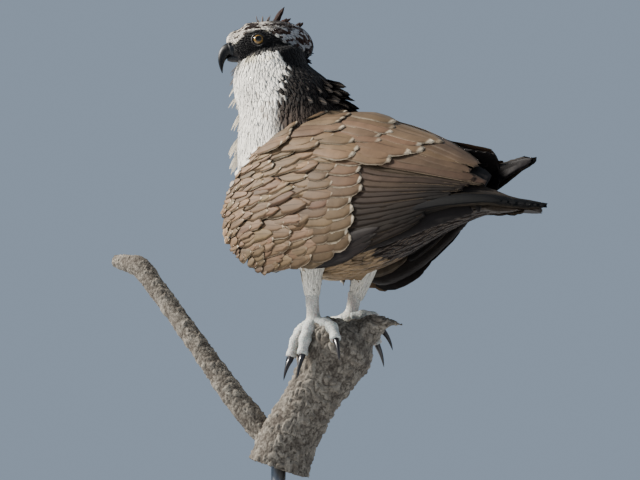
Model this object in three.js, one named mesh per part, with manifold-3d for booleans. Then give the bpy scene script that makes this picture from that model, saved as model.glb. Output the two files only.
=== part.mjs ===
// A young osprey perched on the broken end of a dead branch, on a plain display stand.
// Millimetres, Z up, the floor at z = 0. The bird's body faces minus X and its left side is minus Y.
import * as THREE from "three";
import { mergeVertices } from "three/addons/utils/BufferGeometryUtils.js";
import Module from "manifold-3d";

const wasm = await Module();
wasm.setup();

// The gaps between touching parts, and how far small faces may be merged.
const GAP = 0.3;
const BODY_GAP = 0.45;
const SMOOTHING = 0.06;
const VANE_SMOOTHING = 0.12;
const BARK_SMOOTHING = 0.3;

// Thickness of the folded wing's own body, of a vane at its rib and of a vane at its edge.
const WING_THICK = 5;
const WING_DEEP = 20;
const RIB = 2.2;
const SHINGLE = 0.1;
const EDGE = 0.8;

// Head, bill and eye sizes.
const HEAD_YAW = 35;
const EYE_RADIUS = 8.5;
const BILL_LENGTH = 26;

// Branch, stand and claw sizes.
const BRANCH_SIDES = 13;
const BASE_SIZE = [360, 270, 18];
const ROD_RADIUS = 9;
const ROD_HEIGHT = 180;
const COLLAR_HEIGHT = 10;
const CLAW_LENGTH = 27;

const V = (x, y, z) => new THREE.Vector3(x, y, z);
const rad = (degrees) => (degrees * Math.PI) / 180;

// A repeatable random number from 0 to 1.
let seed = 7;
function chance() {
  seed = (seed * 16807) % 2147483647;
  return seed / 2147483647;
}
const vary = (amount) => (chance() * 2 - 1) * amount;
const uneven = (i, j) => Math.sin(i * 12.9 + j * 7.3 + 1.7);

// A closed solid from rings of points, all of one count, listed from one end to the other.
function ringSolid(rings) {
  const n = rings[0].length;
  const points = rings.flat();
  const first = points.length;
  points.push(average(rings[0]), average(rings[rings.length - 1]));
  const faces = [];
  for (let r = 0; r + 1 < rings.length; r++) {
    for (let k = 0; k < n; k++) {
      const a = r * n + k;
      const b = r * n + ((k + 1) % n);
      faces.push(a, b, a + n, b, b + n, a + n);
    }
  }
  const last = (rings.length - 1) * n;
  for (let k = 0; k < n; k++) {
    faces.push(first, (k + 1) % n, k);
    faces.push(first + 1, last + k, last + ((k + 1) % n));
  }
  return solidFrom(points, faces);
}

function average(ring) {
  const middle = V(0, 0, 0);
  for (const p of ring) middle.add(p);
  return middle.multiplyScalar(1 / ring.length);
}

// A manifold solid from points and faces, turned the right way out.
function solidFrom(points, faces) {
  const make = (order) =>
    new wasm.Manifold(
      new wasm.Mesh({
        numProp: 3,
        vertProperties: new Float32Array(points.flatMap((p) => [p.x, p.y, p.z])),
        triVerts: new Uint32Array(order),
      }),
    );
  const solid = make(faces);
  if (solid.volume() >= 0) return solid;
  const turned = [];
  for (let i = 0; i < faces.length; i += 3) turned.push(faces[i], faces[i + 2], faces[i + 1]);
  return make(turned);
}

// A manifold solid from a closed three.js geometry.
function solidOf(geometry) {
  geometry.deleteAttribute("normal");
  geometry.deleteAttribute("uv");
  const merged = mergeVertices(geometry, 1e-4);
  const at = merged.attributes.position;
  const points = [];
  for (let i = 0; i < at.count; i++) points.push(V(at.getX(i), at.getY(i), at.getZ(i)));
  return solidFrom(points, Array.from(merged.index.array));
}

function largest(solid) {
  const bodies = solid.decompose();
  bodies.sort((a, b) => b.volume() - a.volume());
  return bodies[0];
}

const joinAll = (solids) => wasm.Manifold.union(solids);

// A smooth curve through rows of numbers, read at u from 0 to 1.
function through(rows, u) {
  const span = Math.min(Math.max(u, 0), 1) * (rows.length - 1);
  const i = Math.min(Math.floor(span), rows.length - 2);
  const f = span - i;
  const p0 = rows[Math.max(i - 1, 0)];
  const p1 = rows[i];
  const p2 = rows[i + 1];
  const p3 = rows[Math.min(i + 2, rows.length - 1)];
  return p1.map((_, k) => {
    const a = 2 * p1[k];
    const b = p2[k] - p0[k];
    const c = 2 * p0[k] - 5 * p1[k] + 4 * p2[k] - p3[k];
    const d = -p0[k] + 3 * p1[k] - 3 * p2[k] + p3[k];
    return 0.5 * (a + b * f + c * f * f + d * f * f * f);
  });
}

// A body swept along rows of [x, y, z, half depth, half width], rounded off at both ends.
// Half width is measured along side, half depth across side and the path.
function limb(rows, steps, sides, options = {}) {
  const side = options.side || V(0, 1, 0);
  const grow = options.grow || 0;
  const ripple = options.ripple || (() => 0);
  const look = options.look || 0.01;
  const rings = [];
  for (let i = 0; i <= steps; i++) {
    const u = i / steps;
    const row = through(rows, u);
    const ahead = through(rows, Math.min(u + look, 1));
    const behind = through(rows, Math.max(u - look, 0));
    const along = V(ahead[0] - behind[0], ahead[1] - behind[1], ahead[2] - behind[2]).normalize();
    const depth = along.clone().cross(side).normalize();
    const width = depth.clone().cross(along).normalize();
    const ring = [];
    for (let k = 0; k < sides; k++) {
      const angle = (2 * Math.PI * k) / sides;
      const swell = ripple(u, angle);
      const a = Math.max(row[3] + grow + swell, 0.05) * Math.cos(angle);
      const b = Math.max(row[4] + grow + swell, 0.05) * Math.sin(angle);
      ring.push(V(row[0], row[1], row[2]).addScaledVector(depth, a).addScaledVector(width, b));
    }
    rings.push(ring);
  }
  return ringSolid(rings);
}

// Flesh of neck and body in one, from under the head to the root of the tail.
const TRUNK = [
  [-89, -18, 724, 30, 23],
  [-88, -17, 706, 54, 35],
  [-86, -10, 682, 58, 45],
  [-69, -4, 652, 69, 55],
  [-62, 0, 612, 80, 66],
  [-50, 0, 568, 88, 68],
  [-20, 0, 528, 95, 68],
  [24, 0, 500, 100, 67],
  [80, 0, 496, 84, 62],
  [138, 0, 492, 58, 48],
  [186, 2, 484, 32, 34],
  [214, 2, 474, 15, 24],
];
const trunk = (grow = 0) => limb(TRUNK, 16, 20, { grow, look: 0.14 });

// The head: a rounded block turned to the bird's left, in its own frame with X ahead and Z up.
const HEAD_AT = V(-84, -15, 726);
const HEAD_ROWS = [
  [-49, 0, -12, 10, 9],
  [-42, 0, -6, 23, 18],
  [-28, 0, 1, 31, 24],
  [-8, 0, 4, 34, 26],
  [12, 0, 4, 32.5, 24.5],
  [28, 0, 5, 31, 21],
  [41, 0, 6.5, 27, 16],
  [51, 0, 10, 16.5, 8.5],
  [59, 0, 11, 6.5, 5],
];

function headFrame(solid) {
  const turn = 180 + HEAD_YAW;
  return solid.rotate([0, 0, turn]).translate([HEAD_AT.x, HEAD_AT.y, HEAD_AT.z]);
}

// The two halves of the bill in the head's frame.
function upperBill(grow = 0) {
  const front = 36 + BILL_LENGTH;
  const rows = [
    [38, 0, -2, 12, 10],
    [49, 0, -2.5, 11.5, 9.5],
    [57, 0, -4, 9.5, 8],
    [front, 0, -9, 7.4, 5.8],
    [front + 3, 0, -17, 4.8, 4],
    [front + 3.2, 0, -26, 2.6, 2.3],
    [front + 1.8, 0, -35, 0.6, 0.6],
  ];
  return limb(rows, 10, 10, { grow });
}

function lowerBill(grow = 0) {
  const rows = [
    [36, 0, -15, 4.2, 7.5],
    [46, 0, -15.4, 4.2, 7.2],
    [53, 0, -15.6, 3.6, 5.6],
    [57.5, 0, -15.8, 2, 3.2],
  ];
  return limb(rows, 5, 9, { grow });
}

const eyeCentre = (hand) => [15.5, hand * 18, 4];

function eyeBall(hand, radius) {
  const ball = solidOf(new THREE.SphereGeometry(radius, 12, 9));
  return headFrame(ball.translate(eyeCentre(hand)));
}

// A lid: a ring round the eye, cut from a larger ball, with the brow above it.
function lid(hand) {
  const ring = new THREE.TorusGeometry(EYE_RADIUS * 0.86, 2.1, 5, 12);
  ring.rotateX(Math.PI / 2);
  const [x, y, z] = eyeCentre(hand);
  const brow = [
    [26, y - hand * 1.5, z + 7, 2, 3],
    [16, y + hand * 3.5, z + 9, 3, 4],
    [2, y + hand * 2.5, z + 8, 3, 4],
    [-8, y, z + 4, 1.5, 2],
  ];
  return [solidOf(ring).translate([x, y + hand * 3.6, z]), limb(brow, 5, 7)];
}

// One vane that stands on the crest or nape, as a pointed leaf with a rib.
function leaf(root, tip, bend, halfWidth, flat, thick = RIB) {
  const along = tip.clone().sub(root);
  const side = along.clone().cross(flat).normalize();
  const up = side.clone().cross(along).normalize();
  const rings = [];
  const shape = [0.6, 1, 0.15];
  shape.forEach((w, i) => {
    const u = i / (shape.length - 1);
    const at = root.clone().addScaledVector(along, u);
    at.addScaledVector(up, bend * Math.sin(Math.PI * u));
    rings.push(vaneRing(at, side, up, halfWidth * w, thick * (1 - 0.5 * u)));
  });
  return ringSolid(rings);
}

// Five points round a vane: its two edges, each with a small thickness, and a raised rib.
function vaneRing(at, side, up, half, rib, grow = 0) {
  const low = EDGE / 2 + grow;
  return [
    at.clone().addScaledVector(side, -half).addScaledVector(up, -low),
    at.clone().addScaledVector(side, half).addScaledVector(up, -low),
    at.clone().addScaledVector(side, half).addScaledVector(up, low),
    at.clone().addScaledVector(up, Math.max(rib - EDGE / 2, EDGE) + grow),
    at.clone().addScaledVector(side, -half).addScaledVector(up, low),
  ];
}

// Crest and nape feathers in the head's frame: root along the crown, lean and length.
function crest() {
  const vanes = [];
  const rows = [
    { x: 6, z: 30, length: 13, lean: 70, width: 3.5, hands: [0] },
    { x: -5, z: 31, length: 16, lean: 62, width: 4, hands: [-1, 1] },
    { x: -12, z: 31, length: 31, lean: 72, width: 4.5, hands: [0] },
    { x: -22, z: 29, length: 24, lean: 52, width: 5, hands: [-1, 0, 1] },
    { x: -32, z: 24, length: 20, lean: 30, width: 5, hands: [-1, 0, 1] },
    { x: -41, z: 15, length: 17, lean: 8, width: 6, hands: [-1, 0, 1] },
    { x: -48, z: 1, length: 15, lean: -20, width: 6.5, hands: [-1, 0, 1] },
    { x: -50, z: -12, length: 14, lean: -42, width: 7, hands: [-1, 0, 1] },
  ];
  for (const row of rows) {
    for (const hand of row.hands) {
      const lean = rad(row.lean + vary(6));
      const y = hand * (6 + row.width);
      const root = V(row.x + 4 + vary(2), y * 0.7, row.z - 7 - 2 * hand * hand);
      const reach = row.length * (hand ? 0.72 : 1) + 6;
      const tip = root.clone().add(V(-Math.cos(lean) * reach, y * 0.5, Math.sin(lean) * reach));
      vanes.push(leaf(root, tip, 1.5, row.width, V(0.3, 0, 1)));
    }
  }
  return vanes;
}

// Hackles that stand off the back of the neck, in rows that widen downwards.
function hackles() {
  const vanes = [];
  const rows = [
    { x: -34, z: 676, reach: 20, spread: 18, count: 4 },
    { x: -14, z: 662, reach: 30, spread: 30, count: 5 },
    { x: 2, z: 642, reach: 28, spread: 36, count: 5 },
  ];
  for (const row of rows) {
    for (let k = 0; k < row.count; k++) {
      const f = (2 * k) / (row.count - 1) - 1;
      const lean = 0.18 * uneven(k, row.z);
      const root = V(row.x - 12 - 22 * f * f, row.spread * f, row.z + 4);
      const tip = root.clone().add(V(row.reach + 14, 10 * f, (lean - 0.3) * row.reach));
      vanes.push(leaf(root, tip, 1.5, 6, V(0.3, 0, 1)));
    }
  }
  return vanes;
}

// Ruffled tufts down the front of the chest.
function chestTufts() {
  const vanes = [];
  for (const [z, x, count] of [[606, -128, 4], [584, -124, 4], [560, -118, 3]]) {
    for (let k = 0; k < count; k++) {
      const f = (2 * k) / (count - 1) - 1;
      const root = V(x + 16 * f * f, 26 * f - 8, z);
      const tip = root.clone().add(V(-20 - 5 * uneven(k, z), 4 * f, -17));
      vanes.push(leaf(root, tip, 2, 7, V(-1, 0, 0.6)));
    }
  }
  return vanes;
}

// A wing's outer surface: four control points at each station from its front edge to its tip.
const LEFT_WING = [
  [-30, -44, 611, -92, -80, 572, -170, -80, 462, -34, -88, 407],
  [0, -24, 619, -35, -94, 585, -85, -98, 460, 0, -90, 410],
  [34, -1, 622, 25, -92, 580, 0, -104, 465, 40, -90, 408],
  [78, -1, 611, 72, -84, 565, 58, -100, 462, 84, -86, 413],
  [128, -1, 586, 122, -68, 545, 110, -86, 465, 134, -78, 424],
  [182, -1, 556, 176, -50, 530, 168, -66, 470, 188, -62, 441],
  [238, -10, 512, 238, -32, 500, 238, -48, 468, 238, -46, 453],
  [278, -16, 478, 278, -30, 472, 278, -36, 460, 276, -33, 451],
  [313, -21, 462, 314, -24, 459, 315, -25, 454, 314, -23, 449],
];
const RIGHT_WING = [
  [-30, 44, 611, -92, 80, 572, -160, 82, 470, -34, 90, 430],
  [0, 24, 619, -35, 94, 585, -85, 100, 470, -4, 94, 420],
  [34, 1, 622, 25, 92, 580, 0, 106, 470, 30, 90, 408],
  [78, 1, 611, 72, 84, 565, 62, 104, 470, 80, 78, 416],
  [128, 1, 586, 122, 68, 550, 114, 84, 480, 126, 62, 434],
  [182, 1, 557, 176, 46, 540, 170, 62, 500, 182, 40, 462],
  [236, 2, 541, 234, 24, 532, 232, 34, 512, 232, 20, 490],
  [268, -2, 531, 268, 12, 526, 266, 18, 518, 264, 8, 508],
  [292, -6, 523, 292, 0, 520, 290, 4, 518, 286, 0, 515],
];

// A point on a wing: s runs from the front to the tip, t from the back down to the lower edge.
function wingPoint(wing, s, t) {
  const c = through(wing, s);
  const q = 1 - t;
  const weights = [q * q * q, 3 * q * q * t, 3 * q * t * t, t * t * t];
  const at = V(0, 0, 0);
  weights.forEach((w, i) => {
    at.addScaledVector(V(c[3 * i], c[3 * i + 1], c[3 * i + 2]), w);
  });
  return at;
}

function wingNormal(wing, s, t) {
  const e = 0.01;
  const along = wingPoint(wing, s + e, t).sub(wingPoint(wing, s - e, t));
  const down = wingPoint(wing, s, Math.min(t + e, 1)).sub(wingPoint(wing, s, Math.max(t - e, 0)));
  const out = along.cross(down).normalize();
  const hand = Math.sign(wing[2][4]);
  return out.y * hand >= 0 ? out : out.negate();
}

// The folded wing's smooth body between two values of s.
function wingBody(wing, from, to, rise, fall, steps, across) {
  const rings = [];
  for (let i = 0; i <= steps; i++) {
    const s = from + ((to - from) * i) / steps;
    const outer = [];
    const inner = [];
    for (let k = 0; k <= across; k++) {
      const t = k / across;
      const at = wingPoint(wing, s, t);
      const out = wingNormal(wing, s, t);
      const deep = fall + (WING_DEEP - fall) * Math.max(0, 1 - 1.25 * s);
      outer.push(at.clone().addScaledVector(out, rise));
      inner.push(at.clone().addScaledVector(out, -deep));
    }
    rings.push(outer.concat(inner.reverse()));
  }
  return ringSolid(rings);
}

// One flight feather or covert that lies on a wing, from [s, t] at its root to [s, t] at its tip.
// The edge nearer the wing's lower border is lifted, so that it lies over the next feather down.
function wingVane(wing, root, tip, half, lift, stops, grow) {
  const made = [];
  for (const u of stops) {
    const s = root[0] + (tip[0] - root[0]) * u;
    const t = root[1] + (tip[1] - root[1]) * u;
    const at = wingPoint(wing, s, t);
    const e = 0.02;
    const ds = (tip[0] - root[0]) * e;
    const dt = (tip[1] - root[1]) * e;
    const along = wingPoint(wing, s + ds, t + dt).sub(wingPoint(wing, s - ds, t - dt)).normalize();
    const out = wingNormal(wing, s, t);
    const flat = out.clone().cross(along).normalize();
    const down = flat.z > 0 ? -1 : 1;
    const side = flat.clone().addScaledVector(out, down * SHINGLE).normalize();
    const up = out.clone().addScaledVector(flat, -down * SHINGLE).normalize();
    const shape = Math.min(1, 0.6 + 1.2 * u) * Math.sqrt(Math.max(1 - Math.pow(u, 5) * 0.93, 0));
    at.addScaledVector(out, lift[0] + (lift[1] - lift[0]) * Math.pow(u, 0.5));
    made.push(vaneRing(at, side, up, half * shape + grow, RIB * (1 - 0.55 * u), grow));
  }
  return ringSolid(made);
}

// A row of like feathers: each pair of numbers holds the value at the row's first and last feather.
function wingRow(wing, row, grow) {
  const vanes = [];
  for (let k = 0; k < row.count; k++) {
    const f = row.count > 1 ? k / (row.count - 1) : 0;
    const at = (pair) => pair[0] + (pair[1] - pair[0]) * f;
    const slip = uneven(k, row.count + row.rank) * 0.012;
    const root = [at(row.s), at(row.t)];
    const tip = [at(row.tipS) + slip, at(row.tipT)];
    const layer = row.stack * (row.count - 1 - k);
    const lift = [-3.8 + row.rank * 0.15 + layer * 0.4, 1.4 + row.rank * 0.5 + layer];
    vanes.push(wingVane(wing, root, tip, at(row.half), lift, row.stops, grow));
  }
  return vanes;
}

// The rows of feathers, from the shoulder back. Rank raises a row over those below it.
const COVERT_ROWS = [
  { count: 4, s: [0.01, 0.02], t: [0.24, 0.78], tipS: [0.15, 0.15], tipT: [0.28, 0.84], half: [19, 16] },
  { count: 4, s: [0.07, 0.08], t: [0.32, 0.86], tipS: [0.24, 0.24], tipT: [0.38, 0.9], half: [19, 16] },
  { count: 5, s: [0.16, 0.17], t: [0.38, 0.88], tipS: [0.34, 0.33], tipT: [0.43, 0.93], half: [17, 15] },
  { count: 6, s: [0.26, 0.25], t: [0.42, 0.87], tipS: [0.49, 0.44], tipT: [0.45, 0.93], half: [14, 14] },
].map((row, i) => ({ ...row, rank: 1.4 - 0.25 * i, stack: 0, stops: [0, 0.6, 1] }));
const SCAPULAR_ROWS = [
  { count: 3, s: [0.13, 0.06], t: [0.07, 0.24], tipS: [0.3, 0.27], tipT: [0.07, 0.3], half: [16, 18] },
  { count: 3, s: [0.26, 0.2], t: [0.07, 0.33], tipS: [0.48, 0.44], tipT: [0.09, 0.38], half: [18, 19] },
].map((row, i) => ({ ...row, rank: 2.6 - 0.4 * i, stack: 0, stops: [0, 0.6, 1] }));
const SECONDARY_ROWS = [
  { count: 7, s: [0.4, 0.36], t: [0.42, 0.82], tipS: [0.76, 0.62], tipT: [0.48, 0.82], half: [11, 10] },
  { count: 3, s: [0.42, 0.4], t: [0.1, 0.32], tipS: [0.77, 0.77], tipT: [0.12, 0.38], half: [13, 12] },
].map((row, i) => ({ ...row, rank: i * 0.6, stack: 0, stops: [0, 0.4, 0.8, 1] }));
const PRIMARY_ROWS = [
  { count: 5, s: [0.42, 0.33], t: [0.85, 0.97], tipS: [0.82, 0.99], tipT: [0.72, 0.5], half: [9, 7] },
].map((row) => ({ ...row, rank: 0, stack: 1.3, stops: [0, 0.45, 0.9, 1] }));

const rowsOf = (wing, rows, grow) => rows.flatMap((row) => wingRow(wing, row, grow));

// Tail: its feathers fan a little from the root under the wings.
const TAIL_ROOT = V(196, 2, 474);
const TAIL_TIP = V(294, 1, 460);
const TAIL_WIDTH = 42;

function tailBody(grow = 0) {
  const rows = [
    [TAIL_ROOT.x, TAIL_ROOT.y, TAIL_ROOT.z, 9, 21],
    [225, 2, 470, 6, 21],
    [252, 1, 466, 3, 18],
    [272, 1, 464, 1.2, 12],
  ];
  return limb(rows, 6, 12, { grow });
}

// A plain shell round the whole tail, which the wings are cut clear of.
function tailShell() {
  const rows = [
    [TAIL_ROOT.x, TAIL_ROOT.y, TAIL_ROOT.z - 1, 11, 24],
    [235, 2, 467.5, 9, 25],
    [TAIL_TIP.x + 4, TAIL_TIP.y, TAIL_TIP.z - 0.5, 7, 26],
  ];
  return limb(rows, 3, 10);
}

// Tail feathers, the middle pair on top, each a long blade with a blunt end.
const TAIL_FEATHERS = 7;
function tailVane(k, grow) {
  const f = (2 * k) / (TAIL_FEATHERS - 1) - 1;
  const drop = 2.6 * Math.abs(f) * 1.6;
  const root = V(TAIL_ROOT.x + 6, TAIL_ROOT.y + 9 * f, TAIL_ROOT.z + 2 - drop);
  const tip = V(TAIL_TIP.x - 5 * f * f, TAIL_TIP.y + TAIL_WIDTH * 0.36 * f, TAIL_TIP.z + 2 - drop);
  const along = tip.clone().sub(root).normalize();
  const side = along.clone().cross(V(0, -0.12 * f, 1)).normalize();
  const up = side.clone().cross(along).normalize();
  const rings = [0, 0.45, 0.93, 1].map((u, i) => {
    const half = [5, 7, 8, 4.6][i] + grow;
    return vaneRing(root.clone().lerp(tip, u), side, up, half, RIB * (1 - 0.5 * u), grow);
  });
  return ringSolid(rings);
}

function tailSolid(grow = 0) {
  const feathers = [];
  for (let k = 0; k < TAIL_FEATHERS; k++) feathers.push(tailVane(k, grow));
  return joinAll([tailBody(grow), ...feathers]);
}

// Legs: thigh rows, tarsus rows and the toes that lie over the end of the branch.
const THIGHS = {
  left: [
    [4, -38, 462, 30, 24],
    [0, -38, 430, 20, 18],
    [-2, -36, 402, 14.5, 13.5],
    [-2, -35, 380, 11.5, 10.5],
  ],
  right: [
    [34, 36, 462, 30, 24],
    [31, 34, 430, 20, 18],
    [26, 30, 404, 14.5, 13.5],
    [21, 26, 384, 11.5, 10.5],
  ],
};
const TARSI = {
  left: [
    [-2, -35, 384, 9, 8.5],
    [-2, -34.5, 372, 8.2, 8],
    [-1, -34, 358, 8.4, 8.2],
    [0, -33.5, 346, 12.5, 12],
    [2, -33, 338, 9, 10],
  ],
  right: [
    [21, 26, 388, 9, 8.5],
    [19, 25, 378, 8.2, 8],
    [17, 24, 368, 8.4, 8.2],
    [15, 23, 359, 12.5, 12],
    [15, 22, 352, 9, 10],
  ],
};

// Each toe: points [x, y, z] along it, then the claw's root direction down and curl.
const TOES = {
  left: [
    [[-4, -35, 344], [-12, -40, 340], [-19, -47, 324], [-22, -52, 305]],
    [[0, -38, 344], [2, -48, 339], [3, -58, 323], [3, -63, 305]],
    [[-2, -30, 346], [-16, -25, 346], [-32, -21, 339], [-42, -20, 321]],
    [[6, -34, 345], [20, -38, 344], [34, -44, 337], [44, -51, 321]],
  ],
  right: [
    [[10, 20, 357], [-6, 18, 355], [-24, 17, 349], [-36, 17, 333]],
    [[12, 26, 357], [2, 36, 355], [-8, 46, 346], [-14, 53, 330]],
    [[20, 22, 358], [32, 26, 361], [46, 31, 358], [55, 34, 344]],
    [[16, 30, 357], [22, 44, 355], [28, 56, 345], [30, 62, 330]],
  ],
};
const STUB_AXIS = V(8, -8, 0);
const TOE_RADIUS = [9.2, 8.2, 7.4, 6];

const toeRows = (points) => points.map((p, i) => [...p, TOE_RADIUS[i], TOE_RADIUS[i]]);

function toe(points, grow = 0) {
  const knuckles = (u) => 0.8 * Math.sin(u * Math.PI * 7);
  return limb(toeRows(points), 5, 6, { grow, ripple: knuckles, side: V(0.4, 0.9, 0.1) });
}

// A claw: a tapering hook that leaves the toe's end and curls down.
function claw(points) {
  const n = points.length;
  const end = V(...points[n - 1]);
  const ahead = end.clone().sub(V(...points[n - 2])).normalize();
  const down = V(0, 0, -1);
  const rows = [];
  const outward = V(end.x - STUB_AXIS.x, end.y - STUB_AXIS.y, 0).normalize();
  const heading = ahead.clone().addScaledVector(outward, 0.35).normalize();
  const at = end.clone().addScaledVector(ahead, 3.5);
  for (let i = 0; i <= 6; i++) {
    const u = i / 6;
    const r = 4 * Math.pow(1 - u, 0.8) + 0.35;
    rows.push([at.x, at.y, at.z, r, r * 0.85]);
    heading.addScaledVector(down, 0.22).normalize();
    at.addScaledVector(heading, CLAW_LENGTH / 6);
  }
  return limb(rows, 4, 5, { side: V(0.4, 0.9, 0.1) });
}

// The branch: a stub with a broken, flared end, and the start of a side branch.
const MAIN = [
  [-52, -36, 172, 40, 41],
  [-41, -32, 205, 36, 39],
  [-19, -24, 245, 33, 36],
  [0, -16, 280, 37, 40],
  [8, -8, 308, 47, 50],
  [16, -2, 328, 46, 48],
  [20, 4, 342, 30, 34],
];
const SIDE_BRANCH = [
  [-46, -32, 200, 17, 17],
  [-67, -38, 212, 16.5, 16.5],
  [-103, -50, 254, 16, 16],
  [-136, -58, 298, 14.5, 14.5],
  [-169, -63, 340, 13.5, 13.5],
  [-222, -68, 403, 13.5, 13.5],
  [-254, -70, 439, 14.5, 14.5],
  [-274, -70, 447, 12.5, 12.5],
  [-299, -70, 454, 9.5, 9.5],
];

function bark(depth, lines) {
  return (u, angle) =>
    depth * Math.sin(angle * lines + 2.2 * Math.sin(u * 7)) +
    depth * 0.7 * Math.sin(angle * 3 + u * 9) +
    depth * 0.5 * Math.sin(u * 31 + angle * 2);
}

function perchMain() {
  const stub = limb(MAIN, 11, BRANCH_SIDES, { ripple: bark(1.6, 7), side: V(0, 1, 0) });
  const knob = limb(
    [
      [22, 2, 322, 32, 34],
      [46, 8, 336, 20, 24],
      [64, 10, 346, 13, 16],
      [82, 10, 346, 5, 7],
      [100, 10, 342, 1.5, 2.5],
    ],
    7,
    8,
    { ripple: bark(1.2, 4) },
  );
  const splinter = limb([[34, 22, 330, 14, 12], [44, 28, 352, 6, 6], [50, 31, 366, 1, 1.5]], 6, 8, {
    ripple: bark(0.7, 3),
  });
  return joinAll([stub, knob, splinter]).asOriginal().simplify(BARK_SMOOTHING);
}

const perchSide = () => limb(SIDE_BRANCH, 20, 9, { ripple: bark(0.9, 4) });

// The stand: a flat base with rounded corners and one rod up into the branch's cut end.
function standBase() {
  const [w, d, h] = BASE_SIZE;
  const r = 28;
  const outline = new THREE.Shape();
  outline.moveTo(-w / 2 + r, -d / 2);
  outline.lineTo(w / 2 - r, -d / 2);
  outline.absarc(w / 2 - r, -d / 2 + r, r, -Math.PI / 2, 0, false);
  outline.lineTo(w / 2, d / 2 - r);
  outline.absarc(w / 2 - r, d / 2 - r, r, 0, Math.PI / 2, false);
  outline.lineTo(-w / 2 + r, d / 2);
  outline.absarc(-w / 2 + r, d / 2 - r, r, Math.PI / 2, Math.PI, false);
  outline.lineTo(-w / 2, -d / 2 + r);
  outline.absarc(-w / 2 + r, -d / 2 + r, r, Math.PI, 1.5 * Math.PI, false);
  const bevel = 3;
  const plate = new THREE.ExtrudeGeometry(outline, {
    depth: h - 2 * bevel,
    bevelThickness: bevel,
    bevelSize: bevel,
    bevelOffset: -bevel,
    bevelSegments: 1,
    curveSegments: 4,
  });
  return solidOf(plate).translate([0, 0, bevel]);
}

const rodFoot = BASE_SIZE[2] + GAP;
const atRod = (solid, z) => solid.translate([MAIN[0][0], MAIN[0][1], z]);

function upright(radius, lowerRadius, height, sides) {
  const shape = new THREE.CylinderGeometry(radius, lowerRadius, height, sides);
  return solidOf(shape.rotateX(Math.PI / 2));
}

function standRod(grow = 0) {
  const height = ROD_HEIGHT + 2 * grow;
  return atRod(upright(ROD_RADIUS + grow, ROD_RADIUS + grow, height, 16), rodFoot + ROD_HEIGHT / 2);
}

function standCollar() {
  const collar = atRod(upright(18, 22, COLLAR_HEIGHT, 18), rodFoot + COLLAR_HEIGHT / 2);
  return collar.subtract(standRod(GAP));
}

// The whole bird, part by part, each cut clear of its neighbours by the gap.
const group = new THREE.Group();
const made = {};

function add(name, solid, colour, roughness, metalness = 0) {
  const tolerance = name.startsWith("wing") ? VANE_SMOOTHING : SMOOTHING;
  const body = largest(largest(solid).asOriginal().simplify(tolerance));
  made[name] = body;
  const m = body.getMesh();
  const at = new Float32Array(m.numVert * 3);
  for (let i = 0; i < m.numVert; i++) {
    at.set(m.vertProperties.subarray(i * m.numProp, i * m.numProp + 3), i * 3);
  }
  const geometry = new THREE.BufferGeometry();
  geometry.setAttribute("position", new THREE.BufferAttribute(at, 3));
  geometry.setIndex(new THREE.BufferAttribute(m.triVerts, 1));
  geometry.computeVertexNormals();
  const material = new THREE.MeshStandardMaterial({ color: colour, roughness, metalness });
  const mesh = new THREE.Mesh(geometry, material);
  mesh.name = name;
  group.add(mesh);
}

const NECK_CUT = 708;
const BODY_CUT = 618;
const half = (solid, z, up) => solid.trimByPlane([0, 0, up ? 1 : -1], up ? z : -z);

function buildHead() {
  const skull = limb(HEAD_ROWS, 14, 16);
  const pieces = [skull, ...lid(-1), ...lid(1)];
  pieces.push(...crest());
  let head = headFrame(joinAll(pieces));
  const under = half(half(trunk(), NECK_CUT - 26, true), NECK_CUT + 40, false);
  head = half(joinAll([head, under]), NECK_CUT - 26, true);
  for (const hand of [-1, 1]) head = head.subtract(eyeBall(hand, EYE_RADIUS + GAP));
  return head.subtract(headFrame(upperBill(GAP))).subtract(headFrame(lowerBill(GAP)));
}

function nostril(hand) {
  const slot = limb([[50, hand * 5, 1, 1.1, 1.4], [54, hand * 11, 3, 1.1, 1.4]], 4, 8);
  return headFrame(slot);
}

add("head", buildHead(), 0x5a4a3c, 0.9);
const bill = headFrame(upperBill()).subtract(nostril(-1)).subtract(nostril(1));
add("bill_upper", bill, 0x1c1c20, 0.35);
add("bill_lower", headFrame(lowerBill()).subtract(headFrame(upperBill(GAP))), 0x22222a, 0.4);
for (const [side, hand] of [["left", 1], ["right", -1]]) {
  add(`eye_${side}`, eyeBall(hand, EYE_RADIUS), 0x8a5a1c, 0.1);
}

const headCut = NECK_CUT - 26 - GAP;
const neckFlesh = half(half(trunk(), headCut, false), BODY_CUT, true);
const neck = half(half(joinAll([neckFlesh, ...hackles()]), headCut, false), BODY_CUT, true);
add("neck", neck, 0xd8cfc0, 0.9);
let torso = half(joinAll([trunk(), ...chestTufts()]), BODY_CUT - GAP, false);
for (const side of ["left", "right"]) torso = torso.subtract(limb(THIGHS[side], 6, 10, { grow: BODY_GAP }));
add("torso", torso, 0xd9cdb9, 0.9);

add("tail", tailSolid().subtract(trunk(BODY_GAP)), 0x4c4036, 0.8);

// Wings, each in three nodes: shoulder and coverts, secondaries, and primaries.
// The cuts between their cores are planes: one behind the coverts, one above the primaries.
const COVERT_CUT = [1, 0, -0.12];
const CORE_DROP = 2.4;
const SECONDARY_CORE_END = 222;

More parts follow.
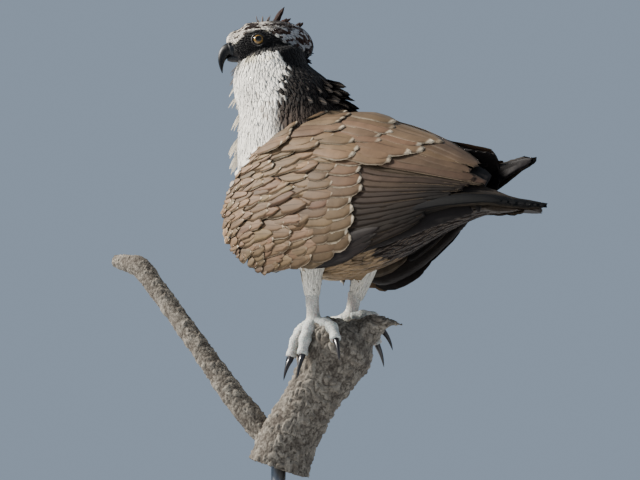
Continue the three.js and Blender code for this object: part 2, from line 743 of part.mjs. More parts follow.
function wingGroups(wing, slope, level, grow) {
  const core = wingBody(wing, 0, 0.92, grow - CORE_DROP, WING_THICK + grow, 12, 6);
  const [nx, , nz] = COVERT_CUT;
  const front = core.trimByPlane([-nx, 0, -nz], -grow);
  const behind = core.trimByPlane(COVERT_CUT, GAP - grow);
  const above = behind.trimByPlane([-slope, 0, 1], level + GAP - grow);
  const below = behind.trimByPlane([slope, 0, -1], -level - grow);
  const vanes = (rows) => rowsOf(wing, rows, grow);
  const shortened = above.trimByPlane([-1, 0, 0], -SECONDARY_CORE_END - grow);
  const join = (solids) => joinAll(solids).asOriginal().simplify(VANE_SMOOTHING);
  return {
    coverts: join([front, ...vanes(COVERT_ROWS), ...vanes(SCAPULAR_ROWS)]),
    secondaries: join([shortened, ...vanes(SECONDARY_ROWS)]),
    primaries: join([below, ...vanes(PRIMARY_ROWS)]),
  };
}

function clearOfBody(side, solid) {
  return solid
    .subtract(trunk(BODY_GAP))
    .subtract(tailShell())
    .subtract(limb(THIGHS[side], 6, 10, { grow: BODY_GAP }));
}

function addWing(side, wing, slope, level, other) {
  const own = wingGroups(wing, slope, level, 0);
  const grown = wingGroups(wing, slope, level, GAP);
  const fit = (solid) => {
    const clear = clearOfBody(side, solid);
    return other ? clear.subtract(other) : clear.trimByPlane([0, -1, 0], GAP / 2);
  };
  const secondaries = own.secondaries.subtract(grown.coverts);
  const primaries = own.primaries.subtract(grown.coverts).subtract(grown.secondaries);
  add(`wing_${side}_coverts`, fit(own.coverts), 0x6a5a4c, 0.9);
  add(`wing_${side}_secondaries`, fit(secondaries), 0x54463b, 0.9);
  add(`wing_${side}_primaries`, fit(primaries), 0x352d28, 0.85);
  return grown;
}

const LEFT_PLANE = [0.27, 415];
const RIGHT_PLANE = [0.5, 409];
const leftGrown = addWing("left", LEFT_WING, ...LEFT_PLANE, null);
const midline = solidOf(new THREE.BoxGeometry(600, 400, 800)).translate([-80, GAP / 2 - 200, 500]);
addWing("right", RIGHT_WING, ...RIGHT_PLANE, joinAll([midline, ...Object.values(leftGrown)]));

const perch = perchMain();
const toeSolids = {};
for (const side of ["left", "right"]) {
  const tarsus = limb(TARSI[side], 6, 8).subtract(perch);
  const thigh = limb(THIGHS[side], 6, 10).subtract(limb(TARSI[side], 6, 8, { grow: GAP }));
  add(`thigh_${side}`, thigh, 0xe4dccb, 0.9);
  add(`tarsus_${side}`, tarsus, 0xcfc9bb, 0.7);
}
let shaped = perch.subtract(limb(SIDE_BRANCH, 20, 9, { ripple: bark(0.9, 4), grow: GAP }));
for (const side of ["left", "right"]) {
  shaped = shaped.subtract(limb(TARSI[side], 6, 8, { grow: GAP }));
  const earlier = [];
  TOES[side].forEach((points, i) => {
    let digit = toe(points).subtract(limb(TARSI[side], 6, 8, { grow: GAP }));
    for (const e of earlier) digit = digit.subtract(e);
    earlier.push(toe(points, GAP));
    shaped = shaped.subtract(toe(points, GAP));
    const nail = claw(points).subtract(toe(points, GAP));
    add(`toe_${side}_${i + 1}`, digit, 0xb9bcae, 0.7);
    toeSolids[`claw_${side}_${i + 1}`] = nail;
  });
}
for (const [name, nail] of Object.entries(toeSolids)) {
  add(name, nail.subtract(shaped), 0x15151a, 0.3);
}
shaped = shaped.subtract(standRod(GAP));
add("perch_main", half(shaped, 172, true), 0x6c6357, 0.95);
add("perch_side", perchSide().subtract(perchMain()).subtract(standRod(GAP)), 0x6c6357, 0.95);
add("stand_base", standBase(), 0x2b2b2d, 0.6);
add("stand_rod", standRod(), 0x8a8d90, 0.35, 1);
add("stand_collar", standCollar(), 0x8a8d90, 0.35, 1);

export default group;
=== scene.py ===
"""Looks of the perched osprey: skin, feathers, eyes, bill, feet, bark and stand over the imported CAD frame."""

import math

import bpy
import numpy as np
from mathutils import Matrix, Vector
from mathutils.bvhtree import BVHTree
from mathutils.kdtree import KDTree


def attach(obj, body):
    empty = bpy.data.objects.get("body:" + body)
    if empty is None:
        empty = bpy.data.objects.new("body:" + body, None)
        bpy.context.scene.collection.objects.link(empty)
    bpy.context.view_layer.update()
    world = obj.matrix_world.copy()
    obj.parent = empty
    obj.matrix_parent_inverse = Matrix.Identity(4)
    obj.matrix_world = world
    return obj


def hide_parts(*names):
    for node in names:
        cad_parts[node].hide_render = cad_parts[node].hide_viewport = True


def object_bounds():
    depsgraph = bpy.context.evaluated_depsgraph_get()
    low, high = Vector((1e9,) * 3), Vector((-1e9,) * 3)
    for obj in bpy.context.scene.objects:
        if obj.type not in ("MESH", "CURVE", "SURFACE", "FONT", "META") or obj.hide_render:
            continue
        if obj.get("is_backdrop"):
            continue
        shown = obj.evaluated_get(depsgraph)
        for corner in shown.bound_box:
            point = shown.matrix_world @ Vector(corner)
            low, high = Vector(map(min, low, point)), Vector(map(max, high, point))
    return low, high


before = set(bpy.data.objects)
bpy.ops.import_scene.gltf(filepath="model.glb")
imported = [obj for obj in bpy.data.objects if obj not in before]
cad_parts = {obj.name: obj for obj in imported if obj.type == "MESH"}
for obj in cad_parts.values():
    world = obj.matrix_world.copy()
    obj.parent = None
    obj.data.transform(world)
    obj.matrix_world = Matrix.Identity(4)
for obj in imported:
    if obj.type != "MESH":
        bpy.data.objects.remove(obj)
CAD_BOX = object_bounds()
rng = np.random.default_rng(11)

# The camera stands where the photograph was taken from.
camera_data = bpy.data.cameras.new("camera")
camera_data.sensor_width = 36
camera_data.lens = 84.15
camera = bpy.data.objects.new("camera", camera_data)
bpy.context.scene.collection.objects.link(camera)
camera.location = (1.051, -1.5224, 0.065)
AIM = Vector((-0.015, 0.0, 0.46))
camera.rotation_euler = (AIM - camera.location).to_track_quat("-Z", "Y").to_euler()
bpy.context.scene.camera = camera


# Numbers and noise.
def unit(v):
    return v / np.maximum(np.linalg.norm(v, axis=-1, keepdims=True), 1e-9)


def smooth(lo, hi, x):
    t = np.clip((np.asarray(x, float) - lo) / (hi - lo), 0, 1)
    return t * t * (3 - 2 * t)


def noise(p, seed=0):
    """Smooth noise from 0 to 1 at points p."""
    p = np.asarray(p, float) + seed * 17.31
    i = np.floor(p).astype(np.int64)
    f = p - i
    f = f * f * (3 - 2 * f)

    def corner(dx, dy, dz):
        n = (
            (i[..., 0] + dx) * 374761393 + (i[..., 1] + dy) * 668265263 + (i[..., 2] + dz) * 1440662683
        ) & 0xFFFFFFFF
        n = ((n ^ (n >> 13)) * 1274126177) & 0xFFFFFFFF
        return ((n ^ (n >> 16)) & 0xFFFF) / 65535.0

    x, y, z = f[..., 0], f[..., 1], f[..., 2]
    a = corner(0, 0, 0) * (1 - x) + corner(1, 0, 0) * x
    b = corner(0, 1, 0) * (1 - x) + corner(1, 1, 0) * x
    c = corner(0, 0, 1) * (1 - x) + corner(1, 0, 1) * x
    d = corner(0, 1, 1) * (1 - x) + corner(1, 1, 1) * x
    return (a * (1 - y) + b * y) * (1 - z) + (c * (1 - y) + d * y) * z


def fbm(p, octaves=4, seed=0):
    total, size = 0.0, 0.5
    for k in range(octaves):
        total = total + size * noise(p * 2.0**k, seed + k)
        size *= 0.5
    return total / (1 - 0.5**octaves)


def srgb(*c):
    c = np.asarray(c, float) / 255
    return np.where(c <= 0.04045, c / 12.92, ((c + 0.055) / 1.055) ** 2.4)


def blend(a, b, w):
    w = np.asarray(w, float)[..., None]
    return a * (1 - w) + b * w


# The forms of the CAD source, in mm.
def through(rows, u):
    rows = np.asarray(rows, float)
    n = len(rows)
    span = np.clip(u, 0, 1) * (n - 1)
    i = np.minimum(span.astype(int), n - 2)
    f = (span - i)[:, None]
    p0, p1, p2, p3 = rows[np.maximum(i - 1, 0)], rows[i], rows[i + 1], rows[np.minimum(i + 2, n - 1)]
    return 0.5 * (
        2 * p1 + (p2 - p0) * f + (
            2 * p0 - 5 * p1 + 4 * p2 - p3
        ) * f**2 + (3 * p1 - p0 - 3 * p2 + p3) * f**3
    )


def limb(rows, u, angle, grow=0.0, side=(0, 1, 0), look=0.01):
    """Points on a swept body at u along it and angle round it, and the direction along it."""
    row = through(rows, u)
    along = unit(
        through(rows, np.clip(u + look, 0, 1))[:, :3] - through(rows, np.clip(u - look, 0, 1))[:, :3]
    )
    depth = unit(np.cross(along, np.asarray(side, float)))
    width = unit(np.cross(depth, along))
    a = np.maximum(row[:, 3] + grow, 0.05) * np.cos(angle)
    b = np.maximum(row[:, 4] + grow, 0.05) * np.sin(angle)
    return row[:, :3] + depth * a[:, None] + width * b[:, None], along


TRUNK = [
    [-89, -18, 724, 30, 23], [-88, -17, 706, 54, 35], [-86, -10, 682, 58, 45], [-69, -4, 652, 69, 55],
    [-62, 0, 612, 80, 66], [-50, 0, 568, 88, 68], [-20, 0, 528, 95, 68], [24, 0, 500, 100, 67],
    [80, 0, 496, 84, 62], [138, 0, 492, 58, 48], [186, 2, 484, 32, 34], [214, 2, 474, 15, 24],
]
# The skin lies this far inside the CAD surface, in mm. The coats fill the difference.
TRUNK_SKIN = -3.2
HEAD_SKIN = -1.6
THIGH_SKIN = -2.4
# The direction along the trunk is taken over this share of its length on each side.
TRUNK_LOOK = 0.14
HEAD_AT = np.array([-84.0, -15.0, 726.0])
TURN = math.radians(215)
AHEAD = np.array([math.cos(TURN), math.sin(TURN), 0.0])
ASIDE = np.array([-math.sin(TURN), math.cos(TURN), 0.0])
UP = np.array([0.0, 0.0, 1.0])
HEAD_ROWS = [
    [-49, 0, -12, 10, 9], [-42, 0, -6, 23, 18], [-28, 0, 1, 31, 24], [-8, 0, 4, 34, 26],
    [12, 0, 4, 32.5, 24.5], [28, 0, 5, 31, 21], [41, 0, 6.5, 27, 16], [51, 0, 10, 16.5, 8.5],
    [59, 0, 11, 6.5, 5],
]
EYE = np.array([15.5, 18.0, 4.0])
EYE_RADIUS = 8.5
THIGHS = {
    "left": [
        [4, -38, 462, 30, 24], [0, -38, 430, 20, 18], [-2, -36, 402, 14.5, 13.5],
        [-2, -35, 380, 11.5, 10.5]
    ],
    "right": [
        [34, 36, 462, 30, 24], [31, 34, 430, 20, 18], [26, 30, 404, 14.5, 13.5], [21, 26, 384, 11.5, 10.5]
    ],
}
TARSI = {
    "left": [
        [-2, -35, 388, 9, 8.5], [-2, -34.5, 372, 8.2, 8], [-1, -34, 358, 8.4, 8.2],
        [0, -33.5, 346, 12.5, 12], [2, -33, 338, 9, 10]
    ],
    "right": [
        [21, 26, 392, 9, 8.5], [19, 25, 378, 8.2, 8], [17, 24, 368, 8.4, 8.2], [15, 23, 359, 12.5, 12],
        [15, 22, 352, 9, 10]
    ],
}
TOES = {
    "left": [
        [[-4, -35, 344], [-12, -40, 340], [-19, -47, 324], [-22, -52, 305]],
        [[0, -38, 344], [2, -48, 339], [3, -58, 323], [3, -63, 305]],
        [[-2, -30, 346], [-16, -25, 346], [-32, -21, 339], [-42, -20, 321]],
        [[6, -34, 345], [20, -38, 344], [34, -44, 337], [44, -51, 321]],
    ],
    "right": [
        [[10, 20, 357], [-6, 18, 355], [-24, 17, 349], [-36, 17, 333]],
        [[12, 26, 357], [2, 36, 355], [-8, 46, 346], [-14, 53, 330]],
        [[20, 22, 358], [32, 26, 361], [46, 31, 358], [55, 34, 344]],
        [[16, 30, 357], [22, 44, 355], [28, 56, 345], [30, 62, 330]],
    ],
}
WINGS = {
    "left": [
        [-30, -44, 611, -92, -80, 572, -170, -80, 462, -34, -88, 407],
        [0, -24, 619, -35, -94, 585, -85, -98, 460, 0, -90, 410],
        [34, -1, 622, 25, -92, 580, 0, -104, 465, 40, -90, 408],
        [78, -1, 611, 72, -84, 565, 58, -100, 462, 84, -86, 413],
        [128, -1, 586, 122, -68, 545, 110, -86, 465, 134, -78, 424],
        [182, -1, 556, 176, -50, 530, 168, -66, 470, 188, -62, 441],
        [238, -10, 512, 238, -32, 500, 238, -48, 468, 238, -46, 453],
        [278, -16, 478, 278, -30, 472, 278, -36, 460, 276, -33, 451],
        [313, -21, 462, 314, -24, 459, 315, -25, 454, 314, -23, 449],
    ],
    "right": [
        [-30, 44, 611, -92, 80, 572, -160, 82, 470, -34, 90, 430],
        [0, 24, 619, -35, 94, 585, -85, 100, 470, -4, 94, 420],
        [34, 1, 622, 25, 92, 580, 0, 106, 470, 30, 90, 408],
        [78, 1, 611, 72, 84, 565, 62, 104, 470, 80, 78, 416],
        [128, 1, 586, 122, 68, 550, 114, 84, 480, 126, 62, 434],
        [182, 1, 557, 176, 46, 540, 170, 62, 500, 182, 40, 462],
        [236, 2, 541, 234, 24, 532, 232, 34, 512, 232, 20, 490],
        [268, -2, 531, 268, 12, 526, 266, 18, 518, 264, 8, 508],
        [292, -6, 523, 292, 0, 520, 290, 4, 518, 286, 0, 515],
    ],
}


def wing_point(side, s, t):
    c = through(WINGS[side], s).reshape(-1, 4, 3)
    q = 1 - t
    w = np.stack([q**3, 3 * q * q * t, 3 * q * t * t, t**3], 1)
    return (c * w[:, :, None]).sum(1)


def wing_out(side, s, t):
    e = 0.01
    along = wing_point(side, s + e, t) - wing_point(side, s - e, t)
    down = wing_point(side, s, np.minimum(t + e, 1)) - wing_point(side, s, np.maximum(t - e, 0))
    out = unit(np.cross(along, down))
    hand = -1 if side == "left" else 1
    flip = np.where(out[:, 1] * hand >= 0, 1.0, -1.0)
    return out * flip[:, None]


def from_head(p):
    p = np.asarray(p, float)
    return HEAD_AT + p[..., :1] * AHEAD + p[..., 1:2] * ASIDE + p[..., 2:3] * UP


def to_head(p):
    r = p - HEAD_AT
    return np.stack([r @ AHEAD, r @ ASIDE, r @ UP], -1)


# Meshes.
def mesh_object(name, points, loops, sizes, flat=None, colours=None, floats=None, uvs=None):
    """A mesh object from points in mm, corner indices and face sizes."""
    me = bpy.data.meshes.new(name)
    points = np.asarray(points, np.float32) * 0.001
    me.vertices.add(len(points))
    me.vertices.foreach_set("co", points.ravel())
    loops = np.asarray(loops, np.int32)
    sizes = np.asarray(sizes, np.int32)
    me.loops.add(len(loops))
    me.loops.foreach_set("vertex_index", loops)
    me.polygons.add(len(sizes))
    me.polygons.foreach_set("loop_start", np.concatenate([[0], np.cumsum(sizes)[:-1]]).astype(np.int32))
    me.update(calc_edges=True)
    me.attributes.new("sharp_face", "BOOLEAN", "FACE")
    flat = np.zeros(len(sizes), bool) if flat is None else np.asarray(flat, bool)
    me.attributes["sharp_face"].data.foreach_set("value", flat)
    for key, value in (colours or {}).items():
        rgba = np.ones((len(points), 4), np.float32)
        rgba[:, :3] = value
        me.color_attributes.new(key, "FLOAT_COLOR", "POINT").data.foreach_set("color", rgba.ravel())
    for key, value in (floats or {}).items():
        me.attributes.new(key, "FLOAT", "POINT").data.foreach_set("value", np.asarray(value, np.float32))
    for key, value in (uvs or {}).items():
        me.uv_layers.new(name=key).uv.foreach_set("vector", np.asarray(value, np.float32)[loops].ravel())
    obj = bpy.data.objects.new(name, me)
    bpy.context.scene.collection.objects.link(obj)
    return obj


def tube(rings):
    """Faces of a closed tube through rings of equal count, with a fan at each end. rings: (n, k, 3)."""
    n, k, _ = rings.shape
    i, j = np.meshgrid(np.arange(n - 1), np.arange(k), indexing="ij")
    a = (i * k + j).ravel()
    b = (i * k + (j + 1) % k).ravel()
    quads = np.stack([a, b, b + k, a + k], 1)
    points = np.concatenate([rings.reshape(-1, 3), rings[0].mean(0)[None], rings[-1].mean(0)[None]])
    j = np.arange(k)
    first = np.stack([np.full(k, n * k), (j + 1) % k, j], 1)
    last = np.stack([np.full(k, n * k + 1), (n - 1) * k + j, (n - 1) * k + (j + 1) % k], 1)
    loops = np.concatenate([quads.ravel(), first.ravel(), last.ravel()])
    sizes = np.concatenate([np.full(len(quads), 4), np.full(2 * k, 3)])
    return points, loops, sizes


def outward(points, loops, sizes):
    """Turns the faces the other way where the closed body is inside out."""
    start = np.concatenate([[0], np.cumsum(sizes)[:-1]])
    a, b, c = points[loops[start]], points[loops[start + 1]], points[loops[start + 2]]
    d = points[loops[start + sizes - 1]]
    volume = (np.cross(a, b) * c).sum() + (np.cross(a, c) * d).sum()
    if volume >= 0:
        return loops
    turned = loops.copy()
    for size in np.unique(sizes):
        rows = start[sizes == size][:, None] + np.arange(size)
        turned[rows] = loops[rows[:, ::-1]]
    return turned


def swept(rows, n, k, grow=0.0, side=(0, 1, 0), look=0.01):
    """A swept body as rings: (n, k, 3), with u and angle of each point."""
    angle = np.linspace(0, 2 * np.pi, k, endpoint=False)
    uu, aa = np.meshgrid(np.linspace(0, 1, n), angle, indexing="ij")
    points, _ = limb(rows, uu.ravel(), aa.ravel(), grow, side, look)
    return points.reshape(n, k, 3), uu, aa


def join_parts(parts):
    points, loops, sizes, base = [], [], [], 0
    for p, l, s in parts:
        points.append(p)
        loops.append(outward(p, l, s) + base)
        sizes.append(s)
        base += len(p)
    return np.concatenate(points), np.concatenate(loops), np.concatenate(sizes)


# Markings and painted shade shared by skin and coat.
WHITE = srgb(238, 233, 222)
CREAM = srgb(226, 216, 196)
DARK = srgb(11, 9, 10)


def trunk_centre(z):
    zs = np.array([474, 484, 496, 528, 568, 612, 652, 682, 706, 724.0])
    xs = np.array([214, 186, 24, -20, -50, -62, -70, -86, -86, -84.0])
    ys = np.array([2, 2, 0, 0, 0, 0, -4, -10, -13, -14.0])
    return np.interp(z, zs, xs), np.interp(z, zs, ys)


def marks_and_shade(p):
    """Colour of the bird's head, neck and body at points p in mm, in linear RGB, with painted shade under the
    belly and the tail.
    """
    h = to_head(p)
    x, y, z = h[:, 0], h[:, 1], h[:, 2]
    ragged = noise(p * 0.35, 3) - 0.5
    wide = noise(p * 0.07, 5) - 0.5
    streak = noise(np.stack([x * 0.07, y * 0.42, z * 0.42], 1), 9)
    fine = noise(np.stack([x * 0.16, y * 0.9, z * 0.9], 1), 12)

    # Body: white breast, brown on the back. The cream and brown under the belly and the near-black under the
    # tail are painted shade on feathers that are white.
    body = blend(WHITE, CREAM, smooth(575, 500, p[:, 2]))
    body = blend(body, srgb(128, 104, 74), 0.95 * smooth(-60, 20, p[:, 0]) * smooth(530, 460, p[:, 2]))
    body = blend(body, srgb(40, 33, 29), smooth(56, 96, p[:, 0] + wide * 60) * smooth(510, 480, p[:, 2]))
    cx, cy = trunk_centre(p[:, 2])
    azimuth = np.degrees(np.arctan2(p[:, 1] - cy, p[:, 0] - cx))
    back = 35 * smooth(640, 705, p[:, 2])
    phi = np.abs((azimuth - back + 180) % 360 - 180)
    hind = np.interp(
        p[:, 2], [560, 600, 625, 640, 653, 665, 682, 693, 706], [70, 68, 66, 62, 59, 58, 60, 66, 74]
    )
    dark = smooth(
        -5, 5, hind - phi + ragged * 18 + wide * 8
    ) * smooth(520, 560, p[:, 2] + (phi < 60) * 60)
    dorsal = smooth(
        -10, 20, p[:, 2] - np.interp(p[:, 0], [-60, 24, 138, 214], [600, 545, 512, 480])
    ) * smooth(-60, -20, p[:, 0])
    neck_dark = blend(DARK, srgb(34, 25, 22), smooth(0.5, 0.85, fine) * smooth(690, 630, p[:, 2]))
    body = blend(body, neck_dark, dark)
    body = blend(body, srgb(58, 47, 40), dorsal * smooth(640, 600, p[:, 2]))
    fleck = smooth(
        0.62, 0.75, noise(p * 0.16, 21)
    ) * smooth(585, 605, p[:, 2]) * smooth(662, 640, p[:, 2])
    body = blend(body, srgb(96, 72, 54), 0.6 * fleck * smooth(120, 75, phi) * (1 - dark))

    # Head: dark mask through the eye, streaked crown, pale patch behind the eye, white throat.
    upper = np.interp(
        x, [-56, -40, -27, -15, -4.5, 3, 13, 28, 36, 45, 60], [-9, -8, -4, 3, 11, 15.5, 18.5, 16, 9, 3, 2]
    )
    lower = np.interp(
        x, [-30, -18.5, -11, -3, 8, 20, 30, 41, 60], [-60, -33, -21, -18.5, -18.5, -20, -21, -21, -20]
    )
    inside = np.minimum(upper - z, z - lower) + ragged * 5
    mask = smooth(-1.4, 1.4, inside)
    density = np.interp(x, [-56, -30, -10, 10, 30, 42, 55], [0.6, 0.52, 0.54, 0.5, 0.5, 0.42, 0.3])
    crown_line = np.exp(-(((np.abs(y) - 3) / 6.0) ** 2)) * smooth(46, 30, x)
    streaked = np.clip(
        smooth(1 - density, 1.12 - density, streak) + 0.85 * crown_line * smooth(0.2, 0.5, fine), 0, 1
    )
    pale = blend(srgb(226, 216, 202), srgb(148, 148, 150), smooth(5, -22, x))
    crown = blend(pale, srgb(44, 27, 20), streaked)
    hind_crown = smooth(8, -2, x) * smooth(-34, -24, x) * smooth(15, 22, z + ragged * 8)
    crown = blend(crown, srgb(34, 22, 18), 0.85 * hind_crown * smooth(0.2, 0.45, fine + 0.15))
    lore = blend(DARK, srgb(46, 42, 42), 0.7 * smooth(-8, -18, z) * smooth(8, 24, x))
    chin = blend(WHITE, srgb(206, 196, 168), 0.8 * smooth(0.35, 0.7, wide + 0.5))
    head = blend(chin, crown, smooth(-1, 1, z - upper + ragged * 4))
    head = blend(head, lore, mask)
    head = blend(head, DARK, smooth(-50, -56, x + ragged * 6) * 0.8)
    out = blend(body, head, smooth(694, 700, p[:, 2]))
    return out * (0.93 + 0.14 * noise(p * 0.11, 31))[:, None]


# The skin, one remeshed surface.
def wing_depth(s):
    """Thickness of the folded wing in mm, from the wrist back."""
    return 4.5 + 15.5 * np.maximum(0, 1 - 1.25 * s)


def wing_core(side):
    s = np.linspace(0, 0.76, 40)
    t = np.linspace(0, 1, 26)
    ss, tt = np.meshgrid(s, t, indexing="ij")
    at = wing_point(side, ss.ravel(), tt.ravel())
    out = wing_out(side, ss.ravel(), tt.ravel())
    deep = wing_depth(ss.ravel())
    outer = (at - 3.6 * out).reshape(40, 26, 3)
    inner = (at - deep[:, None] * out).reshape(40, 26, 3)
    return tube(np.concatenate([outer, inner[:, ::-1]], 1))


def tail_rows():
    return [[196, 2, 474, 8, 20], [225, 2, 470, 5, 19], [252, 1, 466, 3, 15], [272, 1, 464, 1.5, 10]]


parts = [
    tube(swept(TRUNK, 60, 48, TRUNK_SKIN, look=TRUNK_LOOK)[0]),
    tube(from_head(swept(HEAD_ROWS, 40, 40, HEAD_SKIN)[0])),
    tube(swept(tail_rows(), 16, 24)[0]),
    wing_core("left"),
    wing_core("right"),
]
for side in ("left", "right"):
    parts.append(tube(swept(THIGHS[side], 20, 28, THIGH_SKIN)[0]))
points, loops, sizes = join_parts(parts)
skin = mesh_object("skin", points, loops, sizes)
bpy.context.view_layer.objects.active = skin
remesh = skin.modifiers.new("remesh", "REMESH")
remesh.mode = "VOXEL"
remesh.voxel_size = 0.0026
relax = skin.modifiers.new("relax", "SMOOTH")
relax.factor = 0.6
relax.iterations = 4
depsgraph = bpy.context.evaluated_depsgraph_get()
skin_mesh = bpy.data.meshes.new_from_object(skin.evaluated_get(depsgraph))
skin.modifiers.clear()
skin.data = skin_mesh
skin_mesh.polygons.foreach_set("use_smooth", [True] * len(skin_mesh.polygons))


def unwrap_body(co):
    """UV of body points: height and length along the body against the angle round it, on four charts."""
    h = to_head(co)
    uv = np.zeros((len(co), 2))
    at_head = (co[:, 2] > 704) & (np.abs(h[:, 1]) < 45)
    angle = np.arctan2(h[:, 1], h[:, 2] - 2) / (2 * np.pi) + 0.5
    uv[at_head] = np.stack(
        [0.02 + 0.44 * angle, 0.02 + 0.44 * np.clip((h[:, 0] + 60) / 130, 0, 1)], 1
    )[at_head]
    cx, cy = trunk_centre(co[:, 2])
    neck = ~at_head & (co[:, 2] > 600)
    round_neck = np.arctan2(co[:, 1] - cy, cx - co[:, 0]) / (2 * np.pi) + 0.5
    uv[neck] = np.stack(
        [0.52 + 0.44 * round_neck, 0.02 + 0.44 * np.clip((co[:, 2] - 590) / 120, 0, 1)], 1
    )[neck]
    rest = ~at_head & ~neck
    leg = rest & (co[:, 2] < 425)
    trunk_part = rest & ~leg
    round_body = np.arctan2(co[:, 1], co[:, 2] - 505) / (2 * np.pi) + 0.5
    uv[trunk_part] = np.stack(
        [0.02 + 0.62 * np.clip((co[:, 0] + 150) / 440, 0, 1), 0.52 + 0.44 * round_body], 1
    )[trunk_part]
    right = co[:, 1] > 0
    ax = np.where(right, 26, 0)
    ay = np.where(right, 30, -36)
    round_leg = np.arctan2(co[:, 1] - ay, co[:, 0] - ax) / (2 * np.pi) + 0.5
    uv[leg] = np.stack(
        [0.68 + 0.14 * round_leg + 0.15 * right, 0.52 + 0.4 * np.clip((co[:, 2] - 370) / 60, 0, 1)], 1
    )[leg]
    return uv


skin_co = np.zeros(len(skin_mesh.vertices) * 3, np.float32)
skin_mesh.vertices.foreach_get("co", skin_co)
skin_co = skin_co.reshape(-1, 3).astype(float) * 1000
corner = np.zeros(len(skin_mesh.loops), np.int32)
skin_mesh.loops.foreach_get("vertex_index", corner)
rgba = np.ones((len(skin_co), 4), np.float32)
rgba[:, :3] = marks_and_shade(skin_co) * 0.8
# Painted shade: the skin near the wing cores is nearly black, so that the gaps between the vanes look shaded
# and none of it shows pale.
for side in ("left", "right"):
    core_points = wing_core(side)[0]
    tree_of = KDTree(len(core_points))
    for k, q in enumerate(core_points):
        tree_of.insert(q, k)
    tree_of.balance()
    near = np.array([tree_of.find(q)[2] for q in skin_co])
    rgba[:, :3] = blend(rgba[:, :3], srgb(26, 21, 19), smooth(9.0, 6.0, near))
skin_mesh.color_attributes.new("Col", "FLOAT_COLOR", "POINT").data.foreach_set("color", rgba.ravel())
skin_mesh.uv_layers.new(name="OFBake").uv.foreach_set(
    "vector", unwrap_body(skin_co)[corner].astype(np.float32).ravel()
)
polys = [tuple(p.vertices) for p in skin_mesh.polygons]
surface = BVHTree.FromPolygons([Vector(c) for c in skin_co], polys)


def snap(p):
    """Nearest skin points and outward normals."""
    at = np.zeros((len(p), 3))
    out = np.zeros((len(p), 3))
    for i, q in enumerate(p):
        found = surface.find_nearest(Vector(q))
        at[i] = found[0]
        out[i] = found[1]
    return at, unit(out)


# Feathers.
TRIANGLE_LIMIT = 190000
TUFT_PATCH = 0.003
STRIP_WIDTH = 0.013
STRIP_HEIGHT = 0.036
STRIPS_ACROSS = 60
STRIPS_UP = 24
V_SHORT = np.array([0, 0.34, 0.62, 0.84, 1.0])
V_BODY = np.array([0, 0.25, 0.48, 0.68, 0.84, 0.95, 1.0])
V_WING = np.array([0, 0.22, 0.42, 0.6, 0.75, 0.86, 0.94, 0.985, 1.0])
V_LONG = np.array([0, 0.12, 0.25, 0.4, 0.55, 0.7, 0.82, 0.9, 0.95, 0.985, 1.0])


